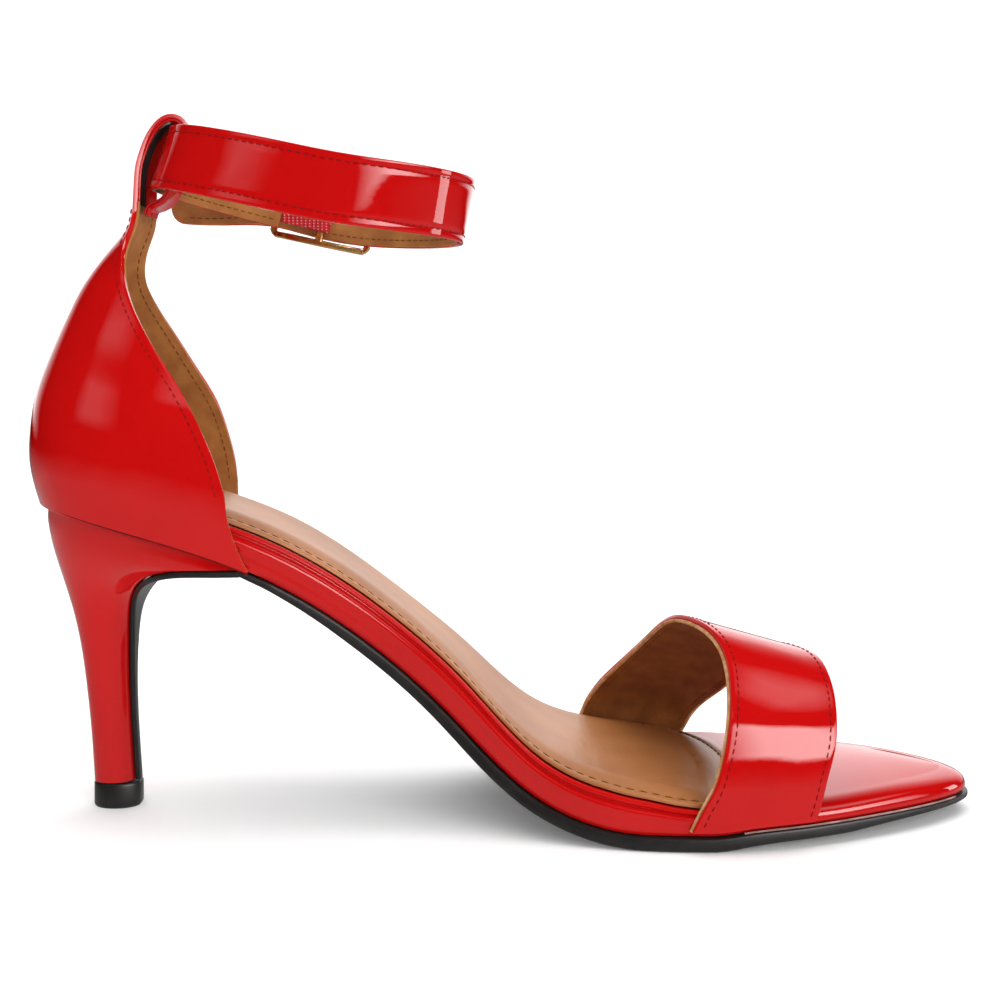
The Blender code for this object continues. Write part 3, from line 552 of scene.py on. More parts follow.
def node(tree, kind, output, inputs=(), **settings):
    """A new shader node's output, with the node's settings and inputs filled in."""
    made = tree.nodes.new("ShaderNode" + kind)
    for name, value in settings.items():
        setattr(made, name, value)
    set_inputs(tree, made, dict(inputs))
    return made.outputs[output]


def scaled(tree, value, low, high, start=0.0, end=1.0):
    """A value between low and high as one between start and end, level beyond them."""
    ends = {"From Min": low, "From Max": high, "To Min": start, "To Max": end}
    return node(tree, "MapRange", "Result", {"Value": value, **ends})


def combined(tree, operation, first, second):
    return node(tree, "Math", "Value", {0: first, 1: second}, operation=operation)


def blended(tree, share, colours):
    """The first of two colours where the share is 0, the second where it is 1."""
    inputs = {"Factor": share, "A": colours[0], "B": colours[1]}
    return node(tree, "Mix", "Result", inputs, data_type="RGBA")


def fresh_material(name):
    made = bpy.data.materials.new(name)
    made.use_nodes = True
    return made, made.node_tree, made.node_tree.nodes["Principled BSDF"]


def finish(name, colours, roughness, spots=60.0, bumps=(), **sockets):
    """A finish whose colour drifts between two, with a stack of bump layers.

    Each bump layer is a noise: its scale along x, y and z, its detail and its depth.
    """
    made, tree, shader = fresh_material(name)
    place = node(tree, "TexCoord", "Object")
    noise = node(tree, "TexNoise", "Fac", {"Vector": place, "Scale": spots, "Detail": 4.0})
    colour = blended(tree, scaled(tree, noise, 0.35, 0.65), [(*colour, 1.0) for colour in colours])
    inputs = {socket.replace("_", " "): value for socket, value in sockets.items()}
    inputs.update({"Base Color": colour, "Roughness": roughness})
    for stretch, detail, depth in bumps:
        spread = node(tree, "Mapping", "Vector", {"Vector": place, "Scale": stretch})
        grain = {"Vector": spread, "Scale": 1.0, "Detail": detail}
        layers = {"Distance": depth, "Height": node(tree, "TexNoise", "Fac", grain)}
        if "Normal" in inputs:
            layers["Normal"] = inputs["Normal"]
        inputs["Normal"] = node(tree, "Bump", "Normal", {"Strength": 1.0, **layers})
        if "Coat Weight" in inputs:
            inputs["Coat Normal"] = inputs["Normal"]
    set_inputs(tree, shader, inputs)
    return made


def even(scale):
    return (scale, scale, scale)


def make_finishes():
    patent = {"Specular_IOR_Level": 0.0, "Coat_Weight": 1.0, "Coat_Roughness": 0.035, "Coat_IOR": 1.42}
    dull = {"Specular_IOR_Level": 0.15}
    soft = ((even(75.0), 1.0, 0.00022), (even(900.0), 2.0, 0.000004))
    moulded = ((even(45.0), 1.0, 0.00012), (even(900.0), 2.0, 0.000003))
    suede = ((even(420.0), 4.0, 0.00010), (even(2600.0), 3.0, 0.00006))
    creased = ((even(1500.0), 4.0, 0.000035), ((260.0, 60.0, 120.0), 2.0, 0.00022))
    cut = ((even(2500.0), 3.0, 0.00004),)
    worn = ((even(700.0), 3.0, 0.00002),)
    brushed = ((even(500.0), 2.0, 0.00001),)
    sheen = {"Coat_Weight": 0.12, "Coat_Roughness": 0.30}
    rubber = {"Specular_IOR_Level": 0.30, "Coat_Weight": 0.12, "Coat_Roughness": 0.18}
    return {
        "patent": finish("patent_leather", REDS, 0.30, 25.0, soft, **patent),
        "patent_moulded": finish("patent_over_board", REDS, 0.30, 25.0, moulded, **patent),
        "lining": finish("suede_lining", TANS, 0.92, 190.0, suede),
        # The vamp strap's lining: the lining tans darkened as painted shade
        "vamp_lining": finish("painted_shade_suede_lining", SHADED_TANS, 0.92, 190.0, suede),
        "loop_shade": finish("painted_shade_loop_inside", LOOP_SHADE_BLACKS, 0.7, **dull),
        "lining_edge": finish("cut_lining_edge", (PALE_TAN, TANS[0]), 0.8, 500.0, cut),
        "sock": finish("smooth_sock_leather", SOCK_TANS, 0.46, 45.0, creased, **sheen),
        "rubber": finish("black_sole_rubber", RUBBER_BLACKS, 0.42, 300.0, worn, **rubber),
        "gold": finish("gold_plating", GOLDS, 0.20, 400.0, brushed, Metallic=1.0),
        "red_thread": finish("dark_red_thread", RED_THREADS, 0.6, 900.0, **dull),
        "tan_thread": finish("brown_thread", TAN_THREADS, 0.7, 900.0, **dull),
        "edge_highlight": finish("painted_highlight_edge_line", EDGE_HIGHLIGHT_PINKS, 0.5, 300.0),
        # The dark seam finish is painted shadow along the counter's foot
        "seam": finish("painted_seam_shadow", SEAM_SHADOW_REDS, 0.7, 300.0, **dull),
        "elastic": make_elastic_finish(),
    }


def make_elastic_finish():
    """Woven ribs across the webbing, with a paler thread that comes up between them."""
    made = finish("ribbed_elastic", ELASTIC_REDS, 0.75, 800.0)
    tree = made.node_tree
    shader = tree.nodes["Principled BSDF"]
    place = node(tree, "TexCoord", "Object")
    waves = []
    for direction, scale in (("X", 285.0), ("Z", 420.0)):
        inputs = {"Vector": place, "Scale": scale}
        waves.append(node(tree, "TexWave", "Fac", inputs, bands_direction=direction))
    bright = scaled(tree, combined(tree, "MULTIPLY", *waves), 0.45, 0.9)
    red = shader.inputs["Base Color"].links[0].from_socket
    bump = node(tree, "Bump", "Normal", {"Distance": 0.0003, "Height": waves[0]})
    colour = blended(tree, bright, (red, (*PALE_THREAD, 1.0)))
    set_inputs(tree, shader, {"Base Color": colour, "Normal": bump})
    return made


FINISHES = make_finishes()


def fresh_mesh(name, points, faces):
    mesh = bpy.data.meshes.new(name)
    mesh.from_pydata(np.array(points, float).tolist(), [], faces)
    return mesh


def add_piece(name, points, faces, finish_name, stands_for=None, closed=True, crease=45):
    """A mesh that rides on the sandal and, where named, stands for a node of the frame."""
    mesh = fresh_mesh(name, points, faces)
    if closed:
        form = bmesh.new()
        form.from_mesh(mesh)
        bmesh.ops.recalc_face_normals(form, faces=form.faces)
        form.to_mesh(mesh)
        form.free()
    mesh.shade_smooth()
    if crease:
        mesh.set_sharp_from_angle(angle=math.radians(crease))
    mesh.materials.append(FINISHES[finish_name])
    made = bpy.data.objects.new(name, mesh)
    bpy.context.scene.collection.objects.link(made)
    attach(made, "root")
    if stands_for:
        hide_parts(stands_for)
    return made


def grid_faces(lines, count):
    """Faces between lines of points that lie side by side, each line with a count of them."""
    faces = []
    for line in range(lines - 1):
        for low in range(line * count, (line + 1) * count - 1):
            faces.append([low, low + 1, low + count + 1, low + count])
    return faces


def rungs(count, pointed):
    """Faces that close a ring by joining its two sides, from its tip or its open end."""
    faces = []
    for k in range(count):
        far = count - k if pointed else count - 1 - k
        if k + 1 > far - 1:
            break
        faces.append(list(dict.fromkeys([k, k + 1, far - 1, far % count])))
    return faces


def ring_faces(rings, count, first=0):
    """Faces between rings of points that follow each other from a first point on."""
    faces = []
    for low in range(first, first + (rings - 1) * count, count):
        for k in range(count):
            after = (k + 1) % count
            faces.append([low + k, low + after, low + count + after, low + count + k])
    return faces


def rod_faces(rings, count, first=0):
    """The faces between rings, and one over each end."""
    ends = [[low + k for k in range(count)] for low in (first, first + (rings - 1) * count)]
    return ring_faces(rings, count, first) + [ends[0][::-1], ends[1]]


def ring_points(middle, up, across, count):
    """Points round a middle, by the two half-axes of their ring."""
    angles = [2 * math.pi * k / count for k in range(count)]
    return [middle + up * math.sin(angle) + across * math.cos(angle) for angle in angles]


def loft(name, rings, finish_name, stands_for=None, pointed=True, crease=45):
    """A closed form through rings whose two sides are joined rung by rung at both ends."""
    count = len(rings[0])
    faces = ring_faces(len(rings), count)
    for face in rungs(count, pointed):
        faces.append(face[::-1])
        faces.append([(len(rings) - 1) * count + k for k in face])
    points = [point for ring in rings for point in ring]
    return add_piece(name, points, faces, finish_name, stands_for, crease=crease)


def sheet_normals(points, faces):
    """The smooth direction that a sheet's faces look to, at each of its points."""
    mesh = fresh_mesh("sheet", points, faces)
    mesh.update()
    normals = np.array([entry.vector[:] for entry in mesh.vertex_normals])
    bpy.data.meshes.remove(mesh)
    return normals


def soften(made, width, degrees):
    """Rounds the edges of a piece that bend by more than the given degrees."""
    soft = made.modifiers.new("soft_edge", "BEVEL")
    soft.width = width
    soft.segments = 3
    soft.limit_method = "ANGLE"
    soft.angle_limit = math.radians(degrees)


def layer(name, points, faces, levels, finish_name, stands_for=None):
    """A sheet of leather between two levels above the given sheet, with soft edges."""
    low, high = levels
    lifted = np.array(points) + sheet_normals(points, faces) * low
    used = sorted({corner for face in faces for corner in face})
    places = {corner: k for k, corner in enumerate(used)}
    faces = [[places[corner] for corner in face] for face in faces]
    made = add_piece(name, lifted[used], faces, finish_name, stands_for, closed=False, crease=None)
    wall = made.modifiers.new("wall", "SOLIDIFY")
    wall.thickness = high - low
    wall.offset = 1.0
    soften(made, min(EDGE_ROUND, 0.42 * (high - low)), 55)
    return made


def stitches(name, path, outs, finish_name, pitch=STITCH_PITCH):
    """A row of short threads that come up out of the leather along a path."""
    path, outs = np.array(path, float), unit(outs)
    gone = gone_along(path)
    count = int(gone[-1] / pitch)
    length = STITCH_LENGTH * pitch / STITCH_PITCH
    steps, sides = 7, 7
    bow = np.sin(np.pi * np.linspace(0.06, 0.94, steps)) ** 0.5
    points, faces = [], []
    for stitch in range(count):
        start = (stitch + 0.5) * gone[-1] / count - length / 2
        at = start + length * np.linspace(0, 1, steps)
        line, out = (
            np.stack([np.interp(at, gone, rows[:, axis]) for axis in range(3)], axis=1)
            for rows in (path, outs)
        )
        out = unit(out)
        across = unit(np.cross(np.gradient(line, axis=0), out))
        line = line + out * (0.62 * bow[:, None] - 0.42) * THREAD_THICK
        faces += rod_faces(steps, sides, len(points))
        for k in range(steps):
            wide = THREAD_THICK / 2 * (0.75 + 0.25 * bow[k])
            points += ring_points(line[k], out[k] * wide, across[k] * wide, sides)
    return add_piece(name, points, faces, finish_name, crease=60)


def stitch_wall(piece, row, line, inner, outer):
    """Stitches on both faces of a leather wall.

    The line has points and outward directions. The faces lie at two levels out from it.
    """
    for face, level, way, thread in (
        ("outside", outer, 1, "red_thread"),
        ("inside", inner, -1, "tan_thread"),
    ):
        path = [place + out * level for place, out in line]
        stitches(f"{piece}_stitches_{face}_{row}", path, [way * out for place, out in line], thread)


def tube(name, path, radius, finish_name):
    """A thin round cord along a path, with flat ends."""
    path = np.array(path, float)
    sides = 6
    points = []
    for place, run in zip(path, unit(np.gradient(path, axis=0))):
        across = unit(np.cross(run, (0.02, 0.03, 1)))
        points += ring_points(place, radius * np.cross(across, run), radius * across, sides)
    return add_piece(name, points, rod_faces(len(path), sides), finish_name)


def surface_out(surface, u, v, towards):
    """A parametric surface's point and outward direction, towards the given direction."""
    reach = 1e-3
    along = surface(min(u + reach, 1), v) - surface(max(u - reach, 0), v)
    across = surface(u, min(v + reach, 1)) - surface(u, max(v - reach, 0))
    out = unit(np.cross(along, across))
    return surface(u, v), -out if out @ towards < 0 else out


# The inner and the outer side of the foot, with the sign of their y
SIDES = ((-1, "inner"), (1, "outer"))


def both_sides(points_of):
    """A ring round the sole: back of the heel, outer side, toe, inner side."""
    outer = [points_of(1, k / OUTLINE_STEPS) for k in range(OUTLINE_STEPS + 1)]
    inner = [points_of(-1, k / OUTLINE_STEPS) for k in range(1, OUTLINE_STEPS)]
    return outer + inner[::-1]


def ease(value, low, high):
    """Rises smoothly from 0 at low to 1 at high."""
    t = min(max((value - low) / (high - low), 0.0), 1.0)
    return t * t * (3 - 2 * t)


def towards_middle(ring, share, height):
    """The ring drawn in towards its middle line, with its height worked out anew."""
    made = []
    for k, (x, y, z) in enumerate(ring):
        middle = (y + ring[-k % len(ring)][1]) / 2
        made.append((x, middle + (y - middle) * (1 - share), height(x)))
    return made


# The board's edge ahead of the vamp strap, where the cover is padded and has no bead:
# inset and level as shares of BOARD_THICK
TOE_EDGE = (
    (0.060, 0.00),
    (0.012, 0.14),
    (0.000, 0.34),
    (0.018, 0.54),
    (0.065, 0.72),
    (0.140, 0.86),
    (0.250, 0.97),
    (0.380, 1.05),
    (0.520, 1.10),
    (0.640, 1.12),
)
TOE_EDGE_FROM = 0.008
TOE_EDGE_FULL = 0.030
TOE_CROWN = 0.0008
TOE_END = HEEL_BACK + 0.998 * SOLE_LENGTH


def make_board():
    edge, toe_edge = route(BOARD_EDGE), route(TOE_EDGE)
    rings = []
    for k in range(EDGE_RINGS + 1):
        inset, level = edge(k / EDGE_RINGS)
        toe_inset, toe_level = toe_edge(k / EDGE_RINGS)

        def point(side, turn):
            toe = ease(side_point(side, turn)[0], TOE_EDGE_FROM, TOE_EDGE_FULL)
            reach = inset + (toe_inset - inset) * toe
            rise = level + (toe_level - level) * toe
            x, y = side_point(side, turn, reach * BOARD_THICK)
            return x, y, feather(x) + rise * board_height(x)

        rings.append(both_sides(point))
    for share in (0.08, 0.2, 0.35, 0.5, 0.65, 0.8, 0.93):

        def height(x):
            toe = ease(x, TOE_EDGE_FROM, TOE_EDGE_FULL)
            rise = 1 + (TOE_EDGE[-1][1] - 1) * toe
            crown = (1 - (1 - share) ** 2) * ease(TOE_END - x, 0.0, 0.016)
            return feather(x) + rise * board_height(x) + TOE_CROWN * toe * crown

        rings.append(towards_middle(rings[EDGE_RINGS], share, height))
    return loft("board_cover", rings, "patent_moulded", "insole_board", crease=60)


def sock_side(side, inset):
    """One side of the sock lining in plan, from heel to its round front end."""
    bend_x = SOCK_REACH - SOCK_ROUND
    points = []
    for k in range(OUTLINE_STEPS + 1):
        turn = k / OUTLINE_STEPS
        if side_point(side, turn)[0] < bend_x - 0.05 * SOCK_ROUND:
            points.append(side_point(side, turn, SOCK_INSET + inset))
    for k in range(SOCK_END_STEPS + 1):
        angle = math.pi / 2 * k / SOCK_END_STEPS
        x = bend_x + (SOCK_ROUND - inset) * math.sin(angle)
        y = (half_width_at(side, x) - SOCK_INSET - inset) * math.cos(angle)
        points.append(np.array([x, side * y]))
    return points


# inset from the sock's edge in metres; level: share of SOCK_THICK
SOCK_PROFILE = (
    (0.00000, 0.00),
    (0.00000, 0.22),
    (0.00012, 0.34),
    (0.00045, 0.42),
    (0.00110, 0.45),
    (0.00180, 0.42),
    (0.00210, 0.37),
    (0.00240, 0.42),
    (0.00330, 0.55),
    (0.00480, 0.78),
    (0.00650, 0.96),
    (0.00800, 1.00),
    (0.00950, 0.93),
)
SOCK_MIDDLE = 0.86


def sock_height(x, level):
    return feather(x) + board_height(x) + 1.5 * CLEARANCE + level * SOCK_THICK


def make_sock():
    rings = []
    for inset, level in SOCK_PROFILE:
        outer, inner = sock_side(1, inset), sock_side(-1, inset)[1:-1]
        rings.append([(x, y, sock_height(x, level)) for x, y in outer + inner[::-1]])
    rim, rim_level = rings[-1], SOCK_PROFILE[-1][1]
    for share in (0.12, 0.3, 0.5, 0.7, 0.9):
        level = rim_level + (SOCK_MIDDLE - rim_level) * ease(share, 0, 0.5)
        rings.append(towards_middle(rim, share, lambda x: sock_height(x, level)))
    loft("sock_leather", rings, "sock", "sock_lining", crease=60)
    for side, word in SIDES:
        path = [(x, y, sock_height(x, 0.42)) for x, y in sock_side(side, SOCK_STITCH_INSET)]
        stitches(f"sock_stitches_{word}", path, [(0, 0, 1)] * len(path), "tan_thread", 0.0029)


HEEL_CURVES = columns(HEEL_LEVELS, 0, 1, 2, 3, 4, 5, 6)
HEEL_SHARES = [k / (HEEL_RINGS - 1) for k in range(HEEL_RINGS)]


def heel_ring(level, grow=0.0):
    """One level of the heel block: round at the back and flat at the breast."""
    back_x, back_z, front_x, front_z, half, seat, sweep = (c(level) for c in HEEL_CURVES)
    seat = min(max(seat, 0.0), 1.0)
    sweep = math.radians(max(sweep, 90.0))
    back_x = HEEL_BACK + back_x * HEEL_SEAT_LENGTH - grow
    front_x = HEEL_BACK + front_x * HEEL_SEAT_LENGTH + grow
    half = half * HEEL_SEAT_WIDTH / 2 + grow
    points = {-1: [], 1: []}
    for side in points:
        for k in range(HEEL_STEPS + 1):
            angle = sweep * k / HEEL_STEPS
            forward = (1 - math.cos(angle)) / (1 - math.cos(sweep))
            x = back_x + (front_x - back_x) * forward
            outline = half_width_at(side, x) - HEEL_SEAT_INSET * math.sin(angle)
            y = (1 - seat) * half * math.sin(angle) ** 0.9 + seat * outline * (k > 0)
            z = (back_z + (front_z - back_z) * forward) * HEEL_RISE
            if level >= 1:
                z = feather(x) - CLEARANCE
            points[side].append((x, side * y, z))
    return points[1] + points[-1][:0:-1]


def make_heel():
    rings = [heel_ring(level) for level in HEEL_SHARES]
    return loft("heel_cover", rings, "patent_moulded", "heel_block", crease=50)


def make_top_piece():
    foot = heel_ring(0.0, TOP_PIECE_LIP)
    front = max(x for x, y, z in foot)
    reach = FLAP_THICK + CLEARANCE
    rings = []
    levels = ((0.0, 0.6), (0.05, 0.25), (0.12, 0.0), (0.9, 0.0), (0.96, 0.2), (1.0, 0.6))
    for height, inset in levels:
        ring = []
        for x, y, z in foot:
            x += reach * (x - foot[0][0]) / (front - foot[0][0])
            middle = (foot[0][0] + front + reach) / 2
            shrink = 1 - inset * TOP_PIECE_ROUND / (HEEL_SEAT_WIDTH * HEEL_LEVELS[0][4] / 2)
            x = middle + (x - middle) * shrink
            ring.append((x, y * shrink, height * TOP_PIECE_HEIGHT))
        rings.append(ring)
    return loft("heel_tip", rings, "rubber", "top_piece", crease=40)


def sole_stations():
    """The outsole's run in profile, from the foot of the heel's breast to the toe."""
    stations = []
    join = outsole_depth(0) * OUTSOLE_THICK
    for level in HEEL_SHARES:
        ring = heel_ring(level)
        front = {1: ring[HEEL_STEPS], -1: ring[HEEL_STEPS + 1]}
        depth = FLAP_THICK + (join - FLAP_THICK) * level**2
        stations.append((front[1][0], front[1][2], depth, front, None))
    start = stations[-1][0] + 0.08 * HEEL_SEAT_LENGTH
    for k in range(OUTLINE_STEPS + 1):
        turn = k / OUTLINE_STEPS
        x = side_point(1, turn)[0]
        if x > start:
            depth = outsole_depth(along_of(x)) * OUTSOLE_THICK
            stations.append((x, feather(x), depth, None, turn))
    return stations


# Lines round the outsole's edge: level as a share of its depth, outset as a share of its lip
SOLE_EDGE = (
    (0.00, 0.50),
    (0.07, 0.85),
    (0.16, 1.00),
    (0.50, 1.00),
    (0.80, 1.00),
    (0.90, 0.70),
    (0.97, 0.20),
    (1.00, -0.50),
)
# Where along x the painted highlight line along the feather runs
EDGE_HIGHLIGHT_FROM, EDGE_HIGHLIGHT_TO = 0.012, 0.068


def make_outsole():
    stations = sole_stations()
    away = -left_of(np.array([station[:2] for station in stations]))
    away[0] = (1, 0)
    away[-1] = away[-2]
    rings = []
    for level, share in SOLE_EDGE:
        outset = share * OUTSOLE_LIP
        sides = {-1: [], 1: []}
        for side in sides:
            for (x, z, depth, front, turn), (away_x, away_z) in zip(stations, away):
                if front:
                    plan = (x, front[side][1] + side * (outset - OUTSOLE_LIP))
                else:
                    plan = side_point(side, turn, -outset)
                gone = CLEARANCE + level * depth
                sides[side].append((plan[0] + away_x * gone, plan[1], z + away_z * gone))
        rings.append(sides[1] + sides[-1][-2::-1])
    loft("sole_rubber", rings, "rubber", "outsole", pointed=False, crease=50)
    # A pale cord along the feather line at the forepart on each side: painted highlight on the edge
    # between board cover and outsole
    for side, word in SIDES:
        path = []
        for x, z, depth, front, turn in stations:
            if turn and EDGE_HIGHLIGHT_FROM < x < EDGE_HIGHLIGHT_TO:
                x, y = side_point(side, turn, -0.00025)
                path.append((x, y, feather(x)))
        tube(f"painted_highlight_line_{word}", path, 0.00022, "edge_highlight")


def counter_point(side, depth, z):
    """The counter's inner face, by the distance round from its back and the height."""
    height = (z - feather(HEEL_BACK + depth)) / COUNTER_HEIGHT
    plan = side_point(side, turn_of(depth / SOLE_LENGTH), -CLEARANCE)
    x = plan[0] + counter_lean(height) * COUNTER_LEAN
    return np.array([x, plan[1] * counter_girth(height), z])


def depth_of(x, z):
    """How far round from the back a point of the counter's profile is."""
    depth = x - HEEL_BACK
    for _ in range(60):
        height = (z - feather(HEEL_BACK + depth)) / COUNTER_HEIGHT
        wanted = x - HEEL_BACK + CLEARANCE - counter_lean(height) * COUNTER_LEAN
        depth = max((depth + wanted) / 2, 0.0)
    return depth


def tab_depth(half):
    """How far round from the back the tab's top reaches for a half-width."""
    reach = 0.2 * COUNTER_LENGTH
    return crossing(0.0, reach, lambda depth: abs(counter_point(1, depth, TAB_TOP)[1]) < half)


def make_topline(side):
    rows = [tuple(counter_point(side, tab_depth(TAB_WIDTH / 2), TAB_TOP)[[0, 2]])]
    for row in TOPLINE:
        x = HEEL_BACK + row[1 if side < 0 else 2] * COUNTER_LENGTH
        rows.append((x, HEEL_RISE + row[0] * COUNTER_HEIGHT))
    return route(rows)


TOPLINES = {-1: make_topline(-1), 1: make_topline(1)}


def counter_fan(side, k):
    """A column of the counter: the roots of its depths at the foot and top, and its top."""
    reach = COUNTER_FRONT[0 if side < 0 else 1] * COUNTER_LENGTH
    foot = math.sqrt(reach) * k
    if k <= TAB_SHARE:
        return foot, math.sqrt(tab_depth(TAB_WIDTH / 2 * k / TAB_SHARE)), TAB_TOP
    x, z = TOPLINES[side]((k - TAB_SHARE) / (1 - TAB_SHARE))
    return foot, math.sqrt(depth_of(x, z)), z


def on_fan(side, fan, share):
    foot, top, top_z = fan
    foot_z = feather(HEEL_BACK + foot**2)
    root = foot + (top - foot) * share
    return counter_point(side, root**2, foot_z + (top_z - foot_z) * share)


def make_counter_sheet():
    """The closed back with its tab folded over, and how many faces come before the fold."""
    tab_columns = round(TAB_SHARE * COUNTER_COLUMNS)
    fans = [(-1, counter_fan(-1, k / COUNTER_COLUMNS)) for k in range(COUNTER_COLUMNS, 0, -1)]
    fans += [(1, counter_fan(1, k / COUNTER_COLUMNS)) for k in range(COUNTER_COLUMNS + 1)]
    rows = COUNTER_ROWS + 1
    points = [on_fan(side, fan, row / COUNTER_ROWS) for side, fan in fans for row in range(rows)]
    faces = grid_faces(len(fans), rows)
    first = COUNTER_COLUMNS - tab_columns
    tab = [(first + k) * rows + COUNTER_ROWS for k in range(2 * tab_columns + 1)]
    body = len(faces)
    fold = route(LOOP)
    last = tab
    for row in range(1, LOOP_ROWS + 1):
        forward, up = fold(row / LOOP_ROWS)
        wide = 1 - (1 - LOOP_NARROW) * row / LOOP_ROWS
        middle = points[tab[tab_columns]]
        fresh = []
        for corner in tab:
            fresh.append(len(points))
            place = middle + (points[corner] - middle) * wide
            points.append(place + (forward * LOOP_DEPTH, 0, up * LOOP_HEIGHT))
        for k in range(len(tab) - 1):
            faces.append([last[k], fresh[k], fresh[k + 1], last[k + 1]])
        last = fresh
    return points, faces, body


def counter_seam(side):
    """Where the stitches beside the topline run on the inner face, and their outward ways."""
    line = []
    for k in range(4, 200):
        x, z = TOPLINES[side](k / 200)
        if z > feather(x) + 2 * STITCH_INSET:
            line.append((depth_of(x, z), z))
    edge = np.array([counter_point(side, depth, z) for depth, z in line])
    seam = []
    for (depth, z), place, run in zip(line, edge, np.gradient(edge, axis=0)):
        reach = 1e-4
        along = counter_point(side, depth + reach, z) - place
        rise = counter_point(side, depth, z + reach) - place
        out = unit(np.cross(along, rise))
        out *= side * np.sign(out[1])
        inward = unit(np.cross(out, run))
        inward *= np.sign(inward @ (-1, -side, -1))
        seam.append((place + inward * STITCH_INSET, out))
    return seam


def make_counter():
    points, faces, body = make_counter_sheet()
    layer("counter_patent", points, faces, (PATENT_FROM, COUNTER_WALL), "patent", "counter")
    inside = (0.0, LINING_REACH)
    layer("counter_lining", points, faces[:body], inside, "lining")
    across = 2 * round(TAB_SHARE * COUNTER_COLUMNS)
    strips = {True: [], False: []}
    for k, face in enumerate(faces[body:]):
        strips[LOOP_TURNED <= k % across / across < 1 - LOOP_TURNED].append(face)
    # The middle of the loop's inside is near-black as painted shade; its turned edges stay red patent
    layer("loop_inside_painted_shade", points, strips[True], inside, "loop_shade")
    layer("loop_turned_edges", points, strips[False], inside, "patent")
    sunk = 0.00006
    for side, word in SIDES:
        stitch_wall("counter", word, counter_seam(side), -sunk, COUNTER_WALL - sunk)
        reach = turn_of(COUNTER_FRONT[0 if side < 0 else 1] * COUNTER_LENGTH / SOLE_LENGTH)
        # A dark red cord along each side of the counter's foot: painted shadow in the gap between the
        # counter and the heel
        seam = []
        for turn in np.linspace(0, reach, 121):
            x, y = side_point(side, turn, -CLEARANCE - 0.94 * COUNTER_WALL)
            seam.append((x, y, feather(x) - 0.0002))
        tube(f"heel_seam_shadow_{word}", seam, SEAM_SHADOW, "seam")


VAMP_CURVES = columns(VAMP_ARCH, 0, 1, 2, 3)


def vamp_point(at, share):
    across, height, back, front = (curve(at) for curve in VAMP_CURVES)
    x = HEEL_BACK + SOLE_LENGTH * (back + (front - back) * share)
    side = 1 if across > 0 else -1
    y = across * (half_width_at(side, x) + CLEARANCE)
    low = feather(x) + VAMP_LIFT
    crown = VAMP_CROWN_BACK + (VAMP_CROWN_FRONT - VAMP_CROWN_BACK) * share
    return np.array([x, y, low + height * (crown - low)])


def vamp_line(share, end, steps):
    """Points across the vamp strap's inner face, and their outward directions."""
    line = []
    for at in np.linspace(end, 1 - end, steps + 1):
        outwards = vamp_point(at, share) - (0, 0, 0.012)
        line.append(surface_out(vamp_point, at, share, outwards))
    return line


def make_vamp_strap():
    points = []
    for row in range(VAMP_ROWS + 1):
        for column in range(VAMP_COLUMNS + 1):
            points.append(vamp_point(row / VAMP_ROWS, column / VAMP_COLUMNS))
    faces = grid_faces(VAMP_ROWS + 1, VAMP_COLUMNS + 1)
    layer("vamp_patent", points, faces, (PATENT_FROM, VAMP_WALL), "patent", "vamp_strap")
    # The vamp strap's lining takes the darker tans: painted shade under the strap
    layer("vamp_lining", points, faces, (0.0, LINING_REACH), "vamp_lining")
    for edge, share in (("back", 0.0), ("front", 1.0)):
        rim = [place + out * 0.35 * LINING_REACH for place, out in vamp_line(share, 0.0, 180)]
        tube(f"vamp_lining_rim_{edge}", rim, LINING_RIM, "lining_edge")
    inset = STITCH_INSET / (SOLE_LENGTH * (VAMP_ARCH[0][3] - VAMP_ARCH[0][2]))
    for edge, share in (("back", inset), ("front", 1 - inset)):
        stitch_wall("vamp", edge, vamp_line(share, 0.012, 160), 0.0, VAMP_WALL)


def ankle_point(forward, across, lift=0.0, droop=0.0):
    x = ANKLE_X + forward * ANKLE_LENGTH
    y = across * ANKLE_WIDTH / 2 + lift
    z = ANKLE_BACK_Z - ANKLE_DROP * (1 - ankle_height(forward)) - droop * STRAP_WIDTH
    return x, y, z


def strap_route():
    """The middle line of the ankle strap, from its buckle end round to its free end."""
    rows = [ankle_point(forward, across) for forward, across in ANKLE_PLAN]
    for (forward, across), lift in zip(BUCKLED_SIDE[::-1], (STRAP_LAYER, CENTRE_LIFT, STRAP_LAYER)):
        rows.append(ankle_point(forward, across, lift))
    for forward, across, droop in STRAP_TAIL:
        rows.append(ankle_point(forward, across, droop=droop))
    return route(rows)


def strap_frame(line, at):
    """Where the strap is, and its up and outward directions."""
    reach = 0.002
    run = line(min(at + reach, 1)) - line(max(at - reach, 0))
    lean = math.radians(ankle_lean((line(at)[0] - ANKLE_X) / ANKLE_LENGTH))
    up = np.array([math.sin(lean), 0, math.cos(lean)])
    return line(at), up, unit(np.cross(run, up))


def strap_section(half, low, high, groove):
    """A layer of the strap cut across: its outer face puffs up beside each row of stitches."""
    round_off = min(EDGE_ROUND, 0.45 * (high - low))
    turns = [(math.sin(math.pi / 2 * k / 4), math.cos(math.pi / 2 * k / 4)) for k in range(5)]
    edge = [(half - round_off * (1 - sine), low + round_off * (1 - cosine)) for sine, cosine in turns]
    edge += [(half - round_off * (1 - cosine), high - round_off * (1 - sine)) for sine, cosine in turns]
    face = []
    steps = 30
    for k in range(1, steps):
        across = (half - round_off) * (1 - 2 * k / steps)
        dip = groove * math.exp(-(((abs(across) - half + STITCH_INSET) / 0.0006) ** 2))
        face.append((across, high - dip))
    return edge + face + [(-a, b) for a, b in edge[::-1]]


